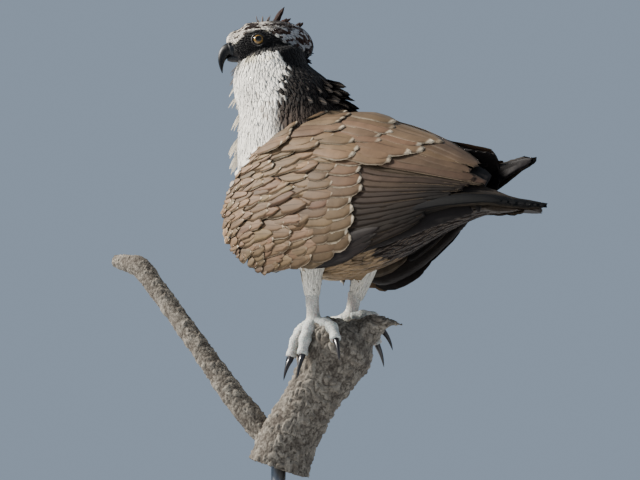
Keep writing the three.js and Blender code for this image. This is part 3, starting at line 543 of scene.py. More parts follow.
class Coat:
    """Collects vanes and writes them as mesh objects under the triangle limit."""

    def __init__(self, name):
        self.name = name
        self.sets = []
        self.v = V_BODY
        self.lane = 0

    def add(
        self, centre, up, half, shape, columns, colour, rim, length, patch, bars=None, camber=0.1,
        rough=0.02
    ):
        """Adds N vanes. centre, up and colour are (N, rows, 3), half is (N,) and shape is (rows,).

        patch is (N, 4): u, v, width and height in the OFBake map.
        """
        count, rows, _ = centre.shape
        tangent = unit(np.gradient(centre, axis=1))
        side = unit(np.cross(up, tangent))
        lifted = unit(np.cross(tangent, side))
        x = np.linspace(-1, 1, columns)
        width = half[:, None, None] * shape[None, :, None] * (
            1 + rough * 3 * rng.normal(size=(count, rows, 1))
        )
        step_along = rng.normal(
            size=(count, rows, columns)
        ) * rough * length[:, None, None] * np.abs(x)[None, None, :]
        step_along[:, 0] = 0
        bulge = camber * half[:, None, None] * (1 - x**2)[None, None, :] * (
            0.4 + 0.6 * shape[None, :, None]
        )
        p = centre[:, :, None, :] + side[:, :, None, :] * (width * x[None, None, :])[..., None]
        p = p + lifted[:, :, None, :] * bulge[..., None] + tangent[:, :, None, :] * step_along[..., None]
        uv = np.stack(np.broadcast_arrays((x[None, None, :] + 1) / 2, self.v[None, :, None]), -1)
        uv = np.broadcast_to(uv, (count, rows, columns, 2))
        bake = patch[:, None, None, :2] + uv * patch[:, None, None, 2:]
        col = np.broadcast_to(colour[:, :, None, :], (count, rows, columns, 3))
        each = lambda a: np.broadcast_to(
            np.asarray(a, float)[:, None, None], (count, rows, columns)
        ).reshape(-1)
        i, j = np.meshgrid(np.arange(rows - 1), np.arange(columns - 1), indexing="ij")
        a = (i * columns + j).ravel()
        top = np.stack([a, a + columns, a + columns + 1, a + 1], 1)
        e = np.arange(rows - 1) * columns
        under = np.stack([e, e + columns - 1, e + 2 * columns - 1, e + columns], 1)
        root = np.arange(columns)
        tip = (rows - 1) * columns + np.arange(columns)[::-1]
        loops = np.concatenate([top.ravel(), under.ravel(), root, tip])
        sizes = np.concatenate([np.full(len(top) + len(under), 4), [columns, columns]])
        flat = np.concatenate([np.zeros(len(top), bool), np.ones(len(under) + 2, bool)])
        base = np.arange(count) * rows * columns
        self.sets.append(
            dict(
                p=p.reshape(-1, 3), loops=(loops[None] + base[:, None]).ravel(),
                sizes=np.tile(sizes, count),
                flat=np.tile(flat, count), col=col.reshape(-1, 3), rim=each(rim), len=each(length),
                bars=each(np.zeros(count) if bars is None else bars), vane=uv.reshape(-1, 2),
                bake=bake.reshape(-1, 2),
                tris=count * (2 * (len(top) + len(under)) + 2 * (columns - 2)),
            )
        )

    def finish(self, material, replaces=()):
        made, group, total = [], [], 0
        groups = []
        for s in self.sets:
            if total + s["tris"] > TRIANGLE_LIMIT and group:
                groups.append(group)
                group, total = [], 0
            group.append(s)
            total += s["tris"]
        groups.append(group)
        for k, group in enumerate(groups):
            base = np.cumsum([0] + [len(s["p"]) for s in group])
            cat = lambda key: np.concatenate([s[key] for s in group])
            obj = mesh_object(
                self.name if k == 0 else f"{self.name}_{k + 1}", cat("p"),
                np.concatenate([s["loops"] + b for s, b in zip(group, base)]), cat("sizes"), cat("flat"),
                {"Col": cat("col")}, {"rim": cat("rim"), "len": cat("len"), "bars": cat("bars")},
                {"OFBake": cat("bake"), "vane": cat("vane")},
            )
            obj.data.materials.append(material)
            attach(obj, "root")
            made.append(obj)
            print(obj.name, sum(s["tris"] for s in group), "triangles")
        if replaces:
            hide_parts(*replaces)
        return made


def outline(v, widest=0.5, power=2.4, root=0.35, tip=0.16):
    rise = root + (1 - root) * np.sin(np.clip(v / widest, 0, 1) * np.pi / 2)
    fall = np.sqrt(np.maximum(1 - (np.maximum(v - widest, 0) / (1 - widest)) ** power, 0))
    return np.maximum(rise * fall, tip)


def curve(c0, c1, c2, v):
    a, b, c = (1 - v) * (1 - 2 * v), 4 * v * (1 - v), v * (2 * v - 1)
    return c0[:, None] * a[
        None, :, None
    ] + c1[:, None] * b[None, :, None] + c2[:, None] * c[None, :, None]


def lay(
    coat, root, flow, length, half, lift, v, columns, near=4.0, colour=marks_and_shade, rim=0.0, sink=1.2,
    spread=0.14, tone=0.07, widest=0.5, power=2.4, tip=0.16, floor_z=0.0
):
    """Lays feathers on the skin from their roots along the flow."""
    q0, n0 = snap(root)
    keep = np.linalg.norm(q0 - root, axis=1) < near
    q0, n0, flow, length, half = q0[keep], n0[keep], flow[keep], length[keep], half[keep]
    lift = np.broadcast_to(lift, keep.shape)[keep]
    d0 = unit(flow - (flow * n0).sum(1)[:, None] * n0)
    turn = rng.normal(size=len(q0))[:, None] * spread
    d0 = unit(d0 + np.cross(n0, d0) * turn)
    far = q0 + d0 * length[:, None] * 0.5
    q1, n1 = snap(far)
    d1 = unit(q1 - q0)
    far2 = q1 + unit(d1 - (d1 * n1).sum(1)[:, None] * n1) * length[:, None] * 0.5
    q2, n2 = snap(far2)
    good = (np.linalg.norm(q1 - far, axis=1) < 0.3 * length + 1) & (
        np.linalg.norm(q2 - far2, axis=1) < 0.4 * length + 1
    )
    good &= ((n0 * n1).sum(1) > 0.2) & ((n1 * n2).sum(1) > 0.1) & (q2[:, 2] > floor_z)
    q0, q1, q2, n0, n1, n2 = q0[good], q1[good], q2[good], n0[good], n1[good], n2[good]
    length, half, lift = length[good], half[good], lift[good] * (0.75 + 0.5 * rng.random(good.sum()))
    centre = curve(q0 - n0 * sink, q1 + n1 * lift[:, None] * 0.55, q2 + n2 * lift[:, None], v)
    up = unit(curve(n0, n1, n2, v))
    seen = q0 * 0.25 + q2 * 0.75
    base = colour(seen) * (1 + tone * rng.normal(size=(len(q0), 1)))
    # Painted shade: each feather darker towards its root, where the feathers above cover it.
    shade = np.interp(v, [0, 0.5, 1], [0.68, 0.93, 1.0])
    col = np.clip(base[:, None, :] * shade[None, :, None], 0, 1)
    patch = np.concatenate([unwrap_body(q0), np.full((len(q0), 2), TUFT_PATCH)], 1)
    coat.v = v
    coat.add(
        centre, up, half, outline(v, widest, power, tip=tip), columns, col, np.full(len(q0), rim), length,
        patch
    )
    return len(q0)


def ringed(rows, steps, spacing, grow=-3.0, look=0.01, u0=0.0, u1=1.0):
    """Roots in rings along a swept body: points and directions along it."""
    out_p, out_d, out_u = [], [], []
    for k, u in enumerate(np.linspace(u0, u1, steps)):
        row = through(rows, np.array([u]))[0]
        gap = spacing(u) if callable(spacing) else spacing
        n = max(6, int(round(np.pi * (row[3] + row[4] + 2 * grow) / gap)))
        angle = (np.arange(n) + (k % 2) * 0.5 + rng.normal(size=n) * 0.16) * 2 * np.pi / n
        uu = np.clip(u + rng.normal(size=n) * 0.25 * (u1 - u0) / steps, 0, 1)
        p, _ = limb(rows, uu, angle, grow, look=look)
        q, _ = limb(rows, np.clip(uu + 0.012, 0, 1), angle, grow, look=look)
        b, _ = limb(rows, np.clip(uu - 0.012, 0, 1), angle, grow, look=look)
        out_p.append(p)
        out_d.append(unit(q - b))
        out_u.append(uu)
    return np.concatenate(out_p), np.concatenate(out_d), np.concatenate(out_u)



# Materials.
def material(name, roughness=0.6, specular=0.35, **more):
    m = bpy.data.materials.new(name)
    m.use_nodes = True
    shader = m.node_tree.nodes["Principled BSDF"]
    shader.inputs["Roughness"].default_value = roughness
    shader.inputs["Specular IOR Level"].default_value = specular
    for key, value in more.items():
        shader.inputs[key.replace("_", " ")].default_value = value
    return m, m.node_tree, shader


def node(tree, kind, ins=None, **props):
    n = tree.nodes.new(kind)
    for key, value in props.items():
        setattr(n, key, value)
    for key, value in (ins or {}).items():
        if isinstance(value, bpy.types.NodeSocket):
            tree.links.new(value, n.inputs[key])
        else:
            n.inputs[key].default_value = value
    return n


def calc(tree, operation, a, b=0.0):
    return node(tree, "ShaderNodeMath", {0: a, 1: b}, operation=operation).outputs[0]


def ramp(tree, value, lo, hi, a=0.0, b=1.0):
    ins = {"Value": value, "From Min": lo, "From Max": hi, "To Min": a, "To Max": b}
    return node(tree, "ShaderNodeMapRange", ins, interpolation_type="SMOOTHSTEP").outputs["Result"]


def mixed(tree, fac, a, b, how="MIX"):
    return node(tree, "ShaderNodeMix", {0: fac, 6: a, 7: b}, data_type="RGBA", blend_type=how).outputs[2]


def tone(tree, colour, factor):
    """colour times a number socket."""
    return node(tree, "ShaderNodeVectorMath", {0: colour, 3: factor}, operation="SCALE").outputs[0]


def grain(tree, scale, detail=3.0, stretch=(1, 1, 1), rough=0.55):
    at = node(tree, "ShaderNodeTexCoord").outputs["Object"]
    moved = node(tree, "ShaderNodeMapping", {"Vector": at, "Scale": stretch}).outputs[0]
    ins = {"Vector": moved, "Scale": scale, "Detail": detail, "Roughness": rough}
    return node(tree, "ShaderNodeTexNoise", ins).outputs["Fac"]


def stored_colour(tree):
    return node(tree, "ShaderNodeAttribute", attribute_name="Col").outputs["Color"]


def bumped(tree, shader, strength, distance, height):
    ins = {"Strength": strength, "Distance": distance, "Height": height}
    tree.links.new(node(tree, "ShaderNodeBump", ins).outputs[0], shader.inputs["Normal"])


def rgba(*c):
    return (*[float(x) for x in srgb(*c)], 1.0)


def feather_material(
    name, rim, rough=0.62, sheen=0.12, rachis=(60, 50, 44), spot=(30, 26, 26), rim_from=0.74,
    tip_from=0.84, strength=0.2
):
    m, tree, shader = material(name, rough, 0.16, Sheen_Weight=sheen, Sheen_Roughness=0.4)
    read = lambda key, out: node(tree, "ShaderNodeAttribute", attribute_name=key).outputs[out]
    col, edge, length, bars = read(
        "Col", "Color"
    ), read("rim", "Fac"), read("len", "Fac"), read("bars", "Fac")
    uv = node(tree, "ShaderNodeUVMap", uv_map="vane").outputs["UV"]
    xyz = node(tree, "ShaderNodeSeparateXYZ", {0: uv})
    x = calc(tree, "ABSOLUTE", calc(tree, "SUBTRACT", calc(tree, "MULTIPLY", xyz.outputs[0], 2.0), 1.0))
    v = xyz.outputs[1]
    mottle = grain(tree, 260.0, 2.0)
    cloud = grain(tree, 45.0, 2.0)
    # Barbs: fine slanting lines from the shaft to the edge.
    run = calc(tree, "SUBTRACT", calc(tree, "MULTIPLY", v, length), calc(tree, "MULTIPLY", x, 3.0))
    barb = calc(tree, "SINE", calc(tree, "MULTIPLY", run, 5.2))
    col = tone(tree, col, ramp(tree, barb, -1.0, 1.0, 0.93, 1.05))
    col = tone(tree, col, ramp(tree, cloud, 0.3, 0.7, 0.86, 1.12))
    col = tone(tree, col, ramp(tree, mottle, 0.25, 0.75, 0.93, 1.06))
    # Cross bars on flight and tail feathers.
    wave = calc(tree, "SINE", calc(tree, "MULTIPLY", calc(tree, "MULTIPLY", v, length), 0.3))
    col = mixed(tree, calc(tree, "MULTIPLY", ramp(tree, wave, 0.15, 0.7), bars), col, rgba(*spot))
    # Pale rim along the edge and round the tip.
    flank = calc(tree, "MULTIPLY", ramp(tree, x, rim_from, 0.97), ramp(tree, v, 0.35, 0.75, 0.25, 1.0))
    around = calc(tree, "MAXIMUM", flank, ramp(tree, v, tip_from, 0.97))
    broken = calc(tree, "MULTIPLY", around, ramp(tree, mottle, 0.3, 0.55, 0.55, 1.0))
    col = mixed(tree, calc(tree, "MULTIPLY", broken, edge), col, rgba(*rim))
    line = calc(tree, "MULTIPLY", ramp(tree, x, 0.09, 0.02, 0.0, 0.55), ramp(tree, length, 16.0, 30.0))
    col = mixed(tree, calc(tree, "MULTIPLY", line, ramp(tree, v, 0.97, 0.8)), col, rgba(*rachis))
    tree.links.new(col, shader.inputs["Base Color"])
    height = calc(tree, "ADD", calc(tree, "MULTIPLY", barb, 0.5), mottle)
    bumped(tree, shader, strength, 0.0004, height)
    return m


PLUME = feather_material("plume_soft", (240, 234, 222), 0.8, 0.04, (150, 135, 120), strength=0.1)
WING_MAT = feather_material(
    "plume_wing", (222, 204, 176), 0.62, 0.03, (44, 33, 25), rim_from=0.8, tip_from=0.94
)
FLIGHT = feather_material(
    "plume_flight", (160, 140, 114), 0.55, 0.0, (14, 12, 11), rim_from=0.88, tip_from=0.97
)

skin_mat, tree, shader = material("skin_under_feathers", 0.75, 0.25)
col = stored_colour(tree)
col = tone(tree, col, ramp(tree, grain(tree, 300.0), 0.3, 0.7, 0.8, 1.1))
tree.links.new(col, shader.inputs["Base Color"])
bumped(tree, shader, 0.4, 0.0006, grain(tree, 500.0, 4.0))
skin_mesh.materials.clear()
skin_mesh.materials.append(skin_mat)
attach(skin, "root")
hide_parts("head", "neck", "torso", "thigh_left", "thigh_right")

# Coats of the head, neck, breast, belly and legs.
def head_direction(d):
    return d[:, :1] * AHEAD + d[:, 1:2] * ASIDE + d[:, 2:3] * UP


coat = Coat("coat_head")
p, d, u = ringed(HEAD_ROWS, 52, 2.0, HEAD_SKIN, u0=0.02, u1=0.985)
keep = np.ones(len(p), bool)
for hand in (1, -1):
    keep &= np.linalg.norm(p - EYE * [1, hand, 1], axis=1) > 9.6
keep &= ~((p[:, 0] > 44) & (p[:, 2] < np.interp(p[:, 0], [44, 52, 60], [-15, 2, 7])))
p, d = p[keep], d[keep]
flow = -d + np.stack(
    [
        0 * p[:, 0], 0.25 * np.sign(p[:, 1]) * (np.abs(p[:, 1]) < 8),
        -0.25 - 0.5 * smooth(10, -45, p[:, 0])
    ],
    1
)
near_eye = np.minimum(np.linalg.norm(p - EYE, axis=1), np.linalg.norm(p - EYE * [1, -1, 1], axis=1))
size = np.interp(
    p[:, 0], [-50, -30, 0, 25, 42, 50], [13, 11, 8.5, 6.5, 4.2, 3.4]
) * np.interp(near_eye, [9, 18], [0.55, 1])
lay(
    coat, from_head(p), head_direction(flow), size * 1.15, 0.16 * size + 0.25, 0.5, V_SHORT, 3, 3.0,
    sink=0.7, spread=0.1, tone=0.05
)
coat.finish(PLUME)

coat = Coat("coat_neck")
p, d, u = ringed(TRUNK, 64, 3.1, TRUNK_SKIN, look=TRUNK_LOOK, u0=0.02, u1=0.42)
size = np.interp(u, [0, 0.1, 0.2, 0.3, 0.42], [13, 17, 21, 25, 28])
lay(coat, p, d, size, 0.09 * size + 0.6, 0.9, V_SHORT, 3, 5.0, spread=0.13, tone=0.035, power=1.7)
coat.finish(PLUME)

coat = Coat("coat_breast")
p, d, u = ringed(TRUNK, 52, 3.9, TRUNK_SKIN, look=TRUNK_LOOK, u0=0.4, u1=0.66)
lay(
    coat, p, d + [0, 0, -0.15], np.interp(u, [0.4, 0.66], [28, 31]), np.full(len(p), 3.3), 1.2, V_BODY, 3,
    5.0, spread=0.13, tone=0.035, power=1.7
)
coat.finish(PLUME)

coat = Coat("coat_belly")
p, d, u = ringed(TRUNK, 44, 5.0, TRUNK_SKIN, look=TRUNK_LOOK, u0=0.64, u1=0.985)
lay(
    coat, p, d, np.interp(u, [0.6, 1], [32, 34]), np.full(len(p), 4.2), 1.3, V_BODY, 3, 5.0, spread=0.13,
    tone=0.05, power=1.8, floor_z=400.0
)
coat.finish(PLUME)

coat = Coat("coat_legs")
for side in ("left", "right"):
    p, d, u = ringed(THIGHS[side], 34, 3.0, THIGH_SKIN, u0=0.02, u1=0.99)
    size = np.interp(u, [0, 0.5, 1], [18, 14, 9])
    lay(
        coat, p, d, size * 1.2, 0.1 * size + 0.5, 0.7, V_SHORT, 3, 4.0, sink=0.8, spread=0.12, tone=0.04,
        power=1.7, colour=lambda q: np.ones((len(q), 1)) * srgb(236, 231, 218)
    )
coat.finish(PLUME)


# Coats of the wings and the tail.
# A feather that passes the end of the wing's form goes on by this many mm for each unit of s.
WING_REACH = 420


def wing_vanes(
    coat, side, s0, t0, s1, t1, half, lift0, lift1, colour, rim, v, columns, roll=0.1, bend=0.0,
    under=False, bars=None, widest=0.55, power=2.6, tip=0.2, camber=0.14, rough=0.012
):
    """Feathers on a wing from root (s0, t0) to tip (s1, t1). bend bows the path along t."""
    count, rows = len(s0), len(v)
    half, lift0, lift1, rim = (
        np.broadcast_to(np.asarray(x, float), count)
        for x in (half, lift0, lift1, rim)
    )
    lay_v = v[None, :]
    s = s0[:, None] + (s1 - s0)[:, None] * lay_v
    t = t0[:, None] + (t1 - t0)[:, None] * lay_v + bend * np.sin(np.pi * lay_v)
    at = wing_point(side, s.ravel(), np.clip(t.ravel(), 0, 1)).reshape(count, rows, 3)
    out = wing_out(
        side, np.clip(s.ravel(), 0.0, 0.985), np.clip(t.ravel(), 0.01, 0.99)
    ).reshape(count, rows, 3)
    past = (s - 1.0).clip(0)[..., None]
    middle = np.full(1, 0.5)
    ahead = unit(wing_point(side, np.ones(1), middle) - wing_point(side, np.full(1, 0.96), middle))
    at = at + past * WING_REACH * ahead
    if under:
        at = at - out * wing_depth(s)[..., None]
        out = -out
    lift = lift0[:, None] + (lift1 - lift0)[:, None] * lay_v**0.6
    centre = at + out * lift[..., None]
    tangent = unit(np.gradient(centre, axis=1))
    across = unit(np.cross(out, tangent))
    down = np.where(across[..., 2:3] > 0, 1.0, -1.0)
    up = unit(out + across * down * roll)
    length = np.linalg.norm(np.diff(centre, axis=1), axis=2).sum(1)
    # Painted shade: each vane darker towards its root, where the feathers above cover it.
    shade = np.interp(v, [0, 0.3, 0.7, 1], [0.5, 0.72, 0.98, 1.06])
    # The rear and the lower edge of the folded wing are darkened to nearly black: painted shade over feathers
    # that are dark brown themselves.
    rear_shade = np.maximum(
        np.interp(s, [0.5, 0.64], [0, 1]) * np.interp(t, [0.22, 0.5], [0, 1]),
        np.interp(s, [0.74, 0.82], [0, 1]) * np.interp(t, [0.1, 0.3], [0.3, 1])
    )
    rear_shade = 1 - 0.84 * rear_shade * (not under)
    col = np.clip(colour[:, None, :] * (shade * rear_shade)[..., None], 0, 1)
    # Each vane has its own strip of the OFBake map, in a grid of STRIPS_ACROSS by STRIPS_UP.
    lane = coat.lane + np.arange(count)
    u_at = 0.01 + 0.97 * (lane % STRIPS_ACROSS) / STRIPS_ACROSS
    v_at = 0.01 + 0.97 * ((lane // STRIPS_ACROSS) % STRIPS_UP) / STRIPS_UP
    patch = np.stack([u_at, v_at, np.full(count, STRIP_WIDTH), np.full(count, STRIP_HEIGHT)], 1)
    coat.lane += count
    coat.v = v
    coat.add(
        centre, up, half, outline(v, widest, power, tip=tip), columns, col, rim, length, patch, bars,
        camber, rough
    )


def feather_row(n, s0, t_from, t_to, s1, tip_from, tip_to, wobble=0.006):
    f = (np.arange(n) + 0.5) / n
    a = np.interp(f, [0, 1], s0) + wobble * rng.normal(size=n)
    b = t_from + (t_to - t_from) * f
    c = np.interp(f, [0, 1], s1) + wobble * rng.normal(size=n)
    d = tip_from + (tip_to - tip_from) * f + 0.004 * rng.normal(size=n)
    return a, b, c, d


BASE = srgb(112, 90, 67)


def brownish(n, base=BASE, spread=0.09):
    return base * (1 + spread * rng.normal(size=(n, 1))) * (1 + 0.03 * rng.normal(size=(n, 3)))


def dress_wing(side):
    # Painted shade: the far wing is a shaded copy of the near one, darker all over.
    shade = 1.0 if side == "left" else 0.82
    coat = Coat(f"coat_wing_{side}_coverts")
    # Small coverts in rows from the front edge back, each row over the next.
    tips = [0.022, 0.045, 0.07, 0.096, 0.124, 0.154, 0.186, 0.222, 0.262, 0.308]
    for k, tip_s in enumerate(tips):
        exposed = 0.022 + 0.0024 * k
        half = 5.4 + 0.75 * k
        n = int(round(235 / (half * 1.15)))
        start = tip_s - exposed * 2.8
        a, b, c, d = feather_row(
            n, [start, start], 0.03, 0.985, [tip_s + 0.01, tip_s], 0.04, 0.985, 0.008
        )
        d = d + 0.022 * rng.normal(size=n)
        c = c + 0.008 * rng.normal(size=n)
        pale_edge = smooth(0.5, 0.36, b) * smooth(0.03, 0.12, b) * (tip_s < 0.03)
        # Painted light and shade: lighter near the upper part of the wing, darker towards its lower edge.
        col = brownish(n, spread=0.16) * shade * np.interp(
            b, [0, 0.2, 0.75, 1], [1.0, 1.15, 1.0, 0.75]
        )[:, None]
        col = blend(col, WHITE, pale_edge * 0.9)
        rim = np.clip(
            0.3 + 0.5 * rng.normal(size=n), 0.0, 1
        ) * np.interp(b, [0, 0.1, 0.85, 1], [0.5, 1, 1, 0.3])
        wing_vanes(
            coat, side, a, b, c, d, half * (0.75 + 0.35 * rng.random(n)), -3.4, 0.6 + 1.3 * rng.random(n),
            col, rim, V_BODY, 5, 0.1, power=2.0, tip=0.1, camber=0.1, rough=0.03
        )
    # Middle and great coverts: broad lobes with bright edges.
    for n, s0, s1, t0, t1, half, lift, r in (
        (13, [0.24, 0.22], [0.372, 0.35], 0.3, 0.95, 12.5, 1.6, 0.5),
        (9, [0.29, 0.25], [0.452, 0.41], 0.33, 0.9, 16.5, 1.2, 1.0),
    ):
        a, b, c, d = feather_row(n, s0, t0, t1, s1, t0 + 0.02, t1 + 0.01, 0.014)
        # Painted shade: darker towards the lower edge of the wing.
        col = brownish(n, spread=0.12) * shade * np.interp(b, [0.3, 0.6, 1], [1.05, 0.85, 0.6])[:, None]
        rim = np.clip(
            r + 0.15 * rng.normal(size=n), 0.3, 1
        ) * np.interp(b, [0.3, 0.8, 0.95], [1, 0.9, 0.3])
        wing_vanes(coat, side, a, b, c, d, half, -3.0, lift, col, rim, V_WING, 7, 0.12)
    # Scapulars: broad rounded feathers along the back.
    for n, s0, s1, t0, t1, half, lift, r in (
        (7, [0.30, 0.30], [0.6, 0.52], 0.05, 0.36, 15.5, 2.6, 0.95),
        (8, [0.20, 0.20], [0.46, 0.4], 0.04, 0.36, 14.5, 3.1, 0.9),
        (9, [0.10, 0.10], [0.3, 0.27], 0.04, 0.32, 13.0, 3.5, 0.7),
        (9, [0.02, 0.03], [0.17, 0.16], 0.03, 0.28, 11.0, 3.8, 0.5),
    ):
        a, b, c, d = feather_row(n, s0, t0, t1, s1, t0 + 0.01, t1 + 0.03, 0.02)
        col = brownish(n, spread=0.12) * shade * np.interp(b, [0, 0.12, 0.3], [0.45, 0.9, 1.15])[:, None]
        rim = np.clip(0.7 * r + 0.3 * rng.normal(size=n), 0.0, 1)
        wing_vanes(
            coat, side, a, b, c, d, half * (0.9 + 0.25 * rng.random(n)), -2.8, lift + 1.2 * rng.random(n),
            col, rim, V_WING, 7, 0.12, widest=0.6, power=3.4, tip=0.24, camber=0.18
        )
    coat.finish(WING_MAT, [f"wing_{side}_coverts"])

    coat = Coat(f"coat_wing_{side}_secondaries")
    n = 16
    a, b, c, d = feather_row(n, [0.34, 0.3], 0.3, 0.93, [0.76, 0.6], 0.36, 0.9, 0.004)
    # Painted shade: darker towards the lower edge of the wing, down to about a seventh at the bottom.
    col = brownish(n, srgb(84, 67, 54), 0.06) * shade * np.interp(
        b, [0.3, 0.45, 0.6, 0.75, 1], [1.05, 0.9, 0.42, 0.2, 0.14]
    )[:, None]
    wing_vanes(
        coat, side, a, b, c, d, 10.5, -3.2, 0.9 - 0.05 * np.arange(n), col,
        np.interp(b, [0.3, 0.6, 0.9], [0.8, 0.4, 0.1]), V_LONG, 7, 0.15, 0.015, widest=0.4, power=4.5,
        tip=0.35
    )
    n = 6
    a, b, c, d = feather_row(n, [0.4, 0.38], 0.04, 0.34, [0.71, 0.7], 0.08, 0.42, 0.012)
    col = brownish(n, srgb(96, 77, 61), 0.08) * shade * np.interp(
        b, [0, 0.15, 0.35], [0.7, 1, 1.05]
    )[:, None]
    wing_vanes(
        coat, side, a, b, c, d, 15.0, -2.4, 1.9, col, 0.95, V_LONG, 7, 0.1, widest=0.45, power=3.2,
        tip=0.3
    )
    for rows_t, cols, col0 in (((0.2, 0.92), 14, srgb(30, 26, 25)), ((0.25, 0.95), 16, srgb(70, 60, 50))):
        long_one = cols == 14
        a, b, c, d = feather_row(
            cols, [0.3, 0.28] if long_one else [0.1, 0.1], rows_t[0], rows_t[1],
            [0.72, 0.6] if long_one else [0.42, 0.36], rows_t[0] + 0.08, rows_t[1] - 0.05, 0.006
        )
        wing_vanes(
            coat, side, a, b, c, d, 10.5, -2.6, 0.2 if long_one else 1.0, brownish(cols, col0, 0.06),
            0.12, V_LONG if long_one else V_WING, 5, 0.12, under=True, bars=np.full(cols, 0.3)
        )
    coat.finish(FLIGHT, [f"wing_{side}_secondaries"])

    coat = Coat(f"coat_wing_{side}_primaries")
    n = 9
    f = np.arange(n) / (n - 1)
    a = 0.33 + 0.12 * (1 - f)
    b = 0.78 + 0.19 * f
    c = np.interp(f, [0, 0.3, 0.6, 1], [0.83, 0.9, 0.96, 1.0])
    d = np.interp(f, [0, 1], [0.68, 0.5])
    col = brownish(n, srgb(20, 18, 20), 0.08)
    wing_vanes(
        coat, side, a, b, c, d, 8.5, -2.8, 0.4 + 0.55 * (n - 1 - np.arange(n)) - 2.0, col, 0.12, V_LONG,
        7, 0.12, widest=0.35, power=5, tip=0.3
    )
    n = 8
    f = np.arange(n) / (n - 1)
    wing_vanes(
        coat, side, 0.36 + 0.06 * (1 - f), 0.6 + 0.34 * f, np.interp(f, [0, 1], [0.84, 0.97]),
        np.interp(f, [0, 1], [0.5, 0.5]), 9.0, -2.2, -0.6, brownish(n, srgb(20, 17, 18), 0.05), 0.1,
        V_LONG, 5, 0.12, under=True, bars=np.full(n, 0.6), widest=0.35, power=5, tip=0.3
    )
    n = 12
    a, b, c, d = feather_row(n, [0.27, 0.2], 0.88, 1.0, [0.5, 0.42], 0.86, 0.99, 0.01)
    wing_vanes(
        coat, side, a, b, c, d, 8.5, -2.2, 1.0, brownish(n, srgb(36, 30, 28), 0.1) * shade, 0.3, V_WING,
        5, 0.12
    )
    coat.finish(FLIGHT, [f"wing_{side}_primaries"])


dress_wing("left")
dress_wing("right")

coat = Coat("coat_tail")
n = 12
f = 2 * np.arange(n) / (n - 1) - 1
drop = 3.6 * np.abs(f)
v = V_LONG
root = np.stack([np.full(n, 200.0), 2 + 10 * f, 476 - drop], 1)
tip = np.stack([294 - 6 * f * f, 1 + 15.5 * f, 462 - drop], 1)
centre = root[:, None] + (tip - root)[:, None] * v[None, :, None]
centre[..., 2] += 1.5 * np.sin(np.pi * v)[None, :]
up = unit(np.broadcast_to(np.stack([0 * f, 0.14 * f, 1 + 0 * f], 1)[:, None], centre.shape))
patch = np.stack([0.02 + 0.07 * np.arange(n), np.full(n, 0.05), np.full(n, 0.05), np.full(n, 0.6)], 1)
coat.v = v
coat.add(
    centre, up, np.full(n, 8.0), outline(v, 0.4, 5, tip=0.4), 7,
    np.broadcast_to(brownish(n, srgb(31, 26, 24), 0.05)[:, None], centre.shape), np.full(n, 0.5),
    np.full(n, 95.0), patch, np.full(n, 0.5), 0.12, 0.008
)
# Tail coverts: dark brown on top; under the tail brown, which is painted shade on feathers that are white.
p, d, u = ringed(tail_rows(), 12, 6.0, 0.0, u0=0.0, u1=0.6)
lay(
    coat, p, d, np.full(len(p), 30.0), np.full(len(p), 6.0), 1.2, V_BODY, 5, 6.0,
    colour=lambda q: blend(
        np.ones((len(q), 1)) * srgb(56, 48, 40), srgb(30, 25, 23), smooth(474, 478, q[:, 2])
    )
)
coat.finish(FLIGHT, ["tail"])


# Crest, nape and ruffled feathers.
def leaf_set(coat, items, columns=5, colour=None, bend=1.5):
    """items: rows of root xyz, tip xyz, half width, in mm."""
    items = np.asarray(items, float)
    root, tip, half = items[:, :3], items[:, 3:6], items[:, 6]
    along = unit(tip - root)
    up = unit(np.cross(np.cross(along, items[:, 7:10]), along))
    v = V_BODY
    length = np.linalg.norm(tip - root, axis=1)
    centre = root[:, None] + (tip - root)[:, None] * v[None, :, None] + up[:, None] * (
        bend * np.sin(np.pi * v)
    )[None, :, None]
    col = marks_and_shade(root) if colour is None else colour
    col = np.broadcast_to(col[:, None], centre.shape) * (1 + 0.05 * rng.normal(size=(len(items), 1, 1)))
    patch = np.concatenate([unwrap_body(root), np.full((len(root), 2), TUFT_PATCH)], 1)
    coat.v = v
    coat.add(
        centre, np.broadcast_to(up[:, None], centre.shape), half, outline(v, 0.4, 1.5, tip=0.06), columns,
        col, np.zeros(len(root)), length, patch, None, 0.2, 0.03
    )


coat = Coat("coat_crest")
TUFTS = [
    # root x, z and tip x, z in the head's frame, half width, spread across, count, colour
    (-2, 30, -17.5, 57, 4.6, 2, 3, (40, 22, 18)), (-10, 29, -26.5, 41, 4.2, 6, 3, (44, 25, 19)),
    (-26, 21, -43, 35, 4.4, 5, 3, (40, 24, 19)), (11.7, 34, 11.5, 50, 1.2, 2, 2, (104, 94, 88)),
    (17, 34, 18, 44, 1.0, 4, 2, (110, 98, 92)), (4, 34, 1, 46, 1.2, 5, 3, (92, 80, 74)),
    (-38, 16, -49.5, 20, 1.3, 4, 2, (50, 46, 46)), (-37, 6, -55.5, 1, 3.4, 9, 5, (24, 21, 22)),
    (-38, -4, -57, -8, 3.4, 10, 5, (22, 19, 20)), (-40, -15, -54.5, -22, 3.2, 10, 5, (20, 18, 19)),
    (-20, 24, -38, 28, 3.0, 10, 5, (140, 138, 138)), (-30, 16, -48, 13, 3.0, 11, 5, (110, 108, 110)),
    (-14, 28, -30, 34, 2.4, 8, 4, (60, 44, 38)),
]
rows, cols = [], []
for x0, z0, x1, z1, half, spread, count, colour in TUFTS:
    for k in range(count):
        f = 2 * k / (count - 1) - 1 if count > 1 else 0
        slip = rng.normal(size=4) * 1.2 * (abs(f) > 0.01)
        a = from_head(np.array([x0 + slip[0], 0.8 * spread * f, z0 - 2 - 2 * f * f]))
        reach = 1 - 0.3 * abs(f)
        b = from_head(
            np.array(
                [x0 + (x1 - x0) * reach + slip[1], 1.35 * spread * f, z0 + (z1 - z0) * reach + slip[2]]
            )
        )
        flat = 0.8 * ASIDE + 0.5 * UP
        rows.append([*a, *b, half * (0.8 + 0.3 * rng.random()), *flat])
        cols.append(srgb(*colour))
leaf_set(coat, rows, colour=np.array(cols))
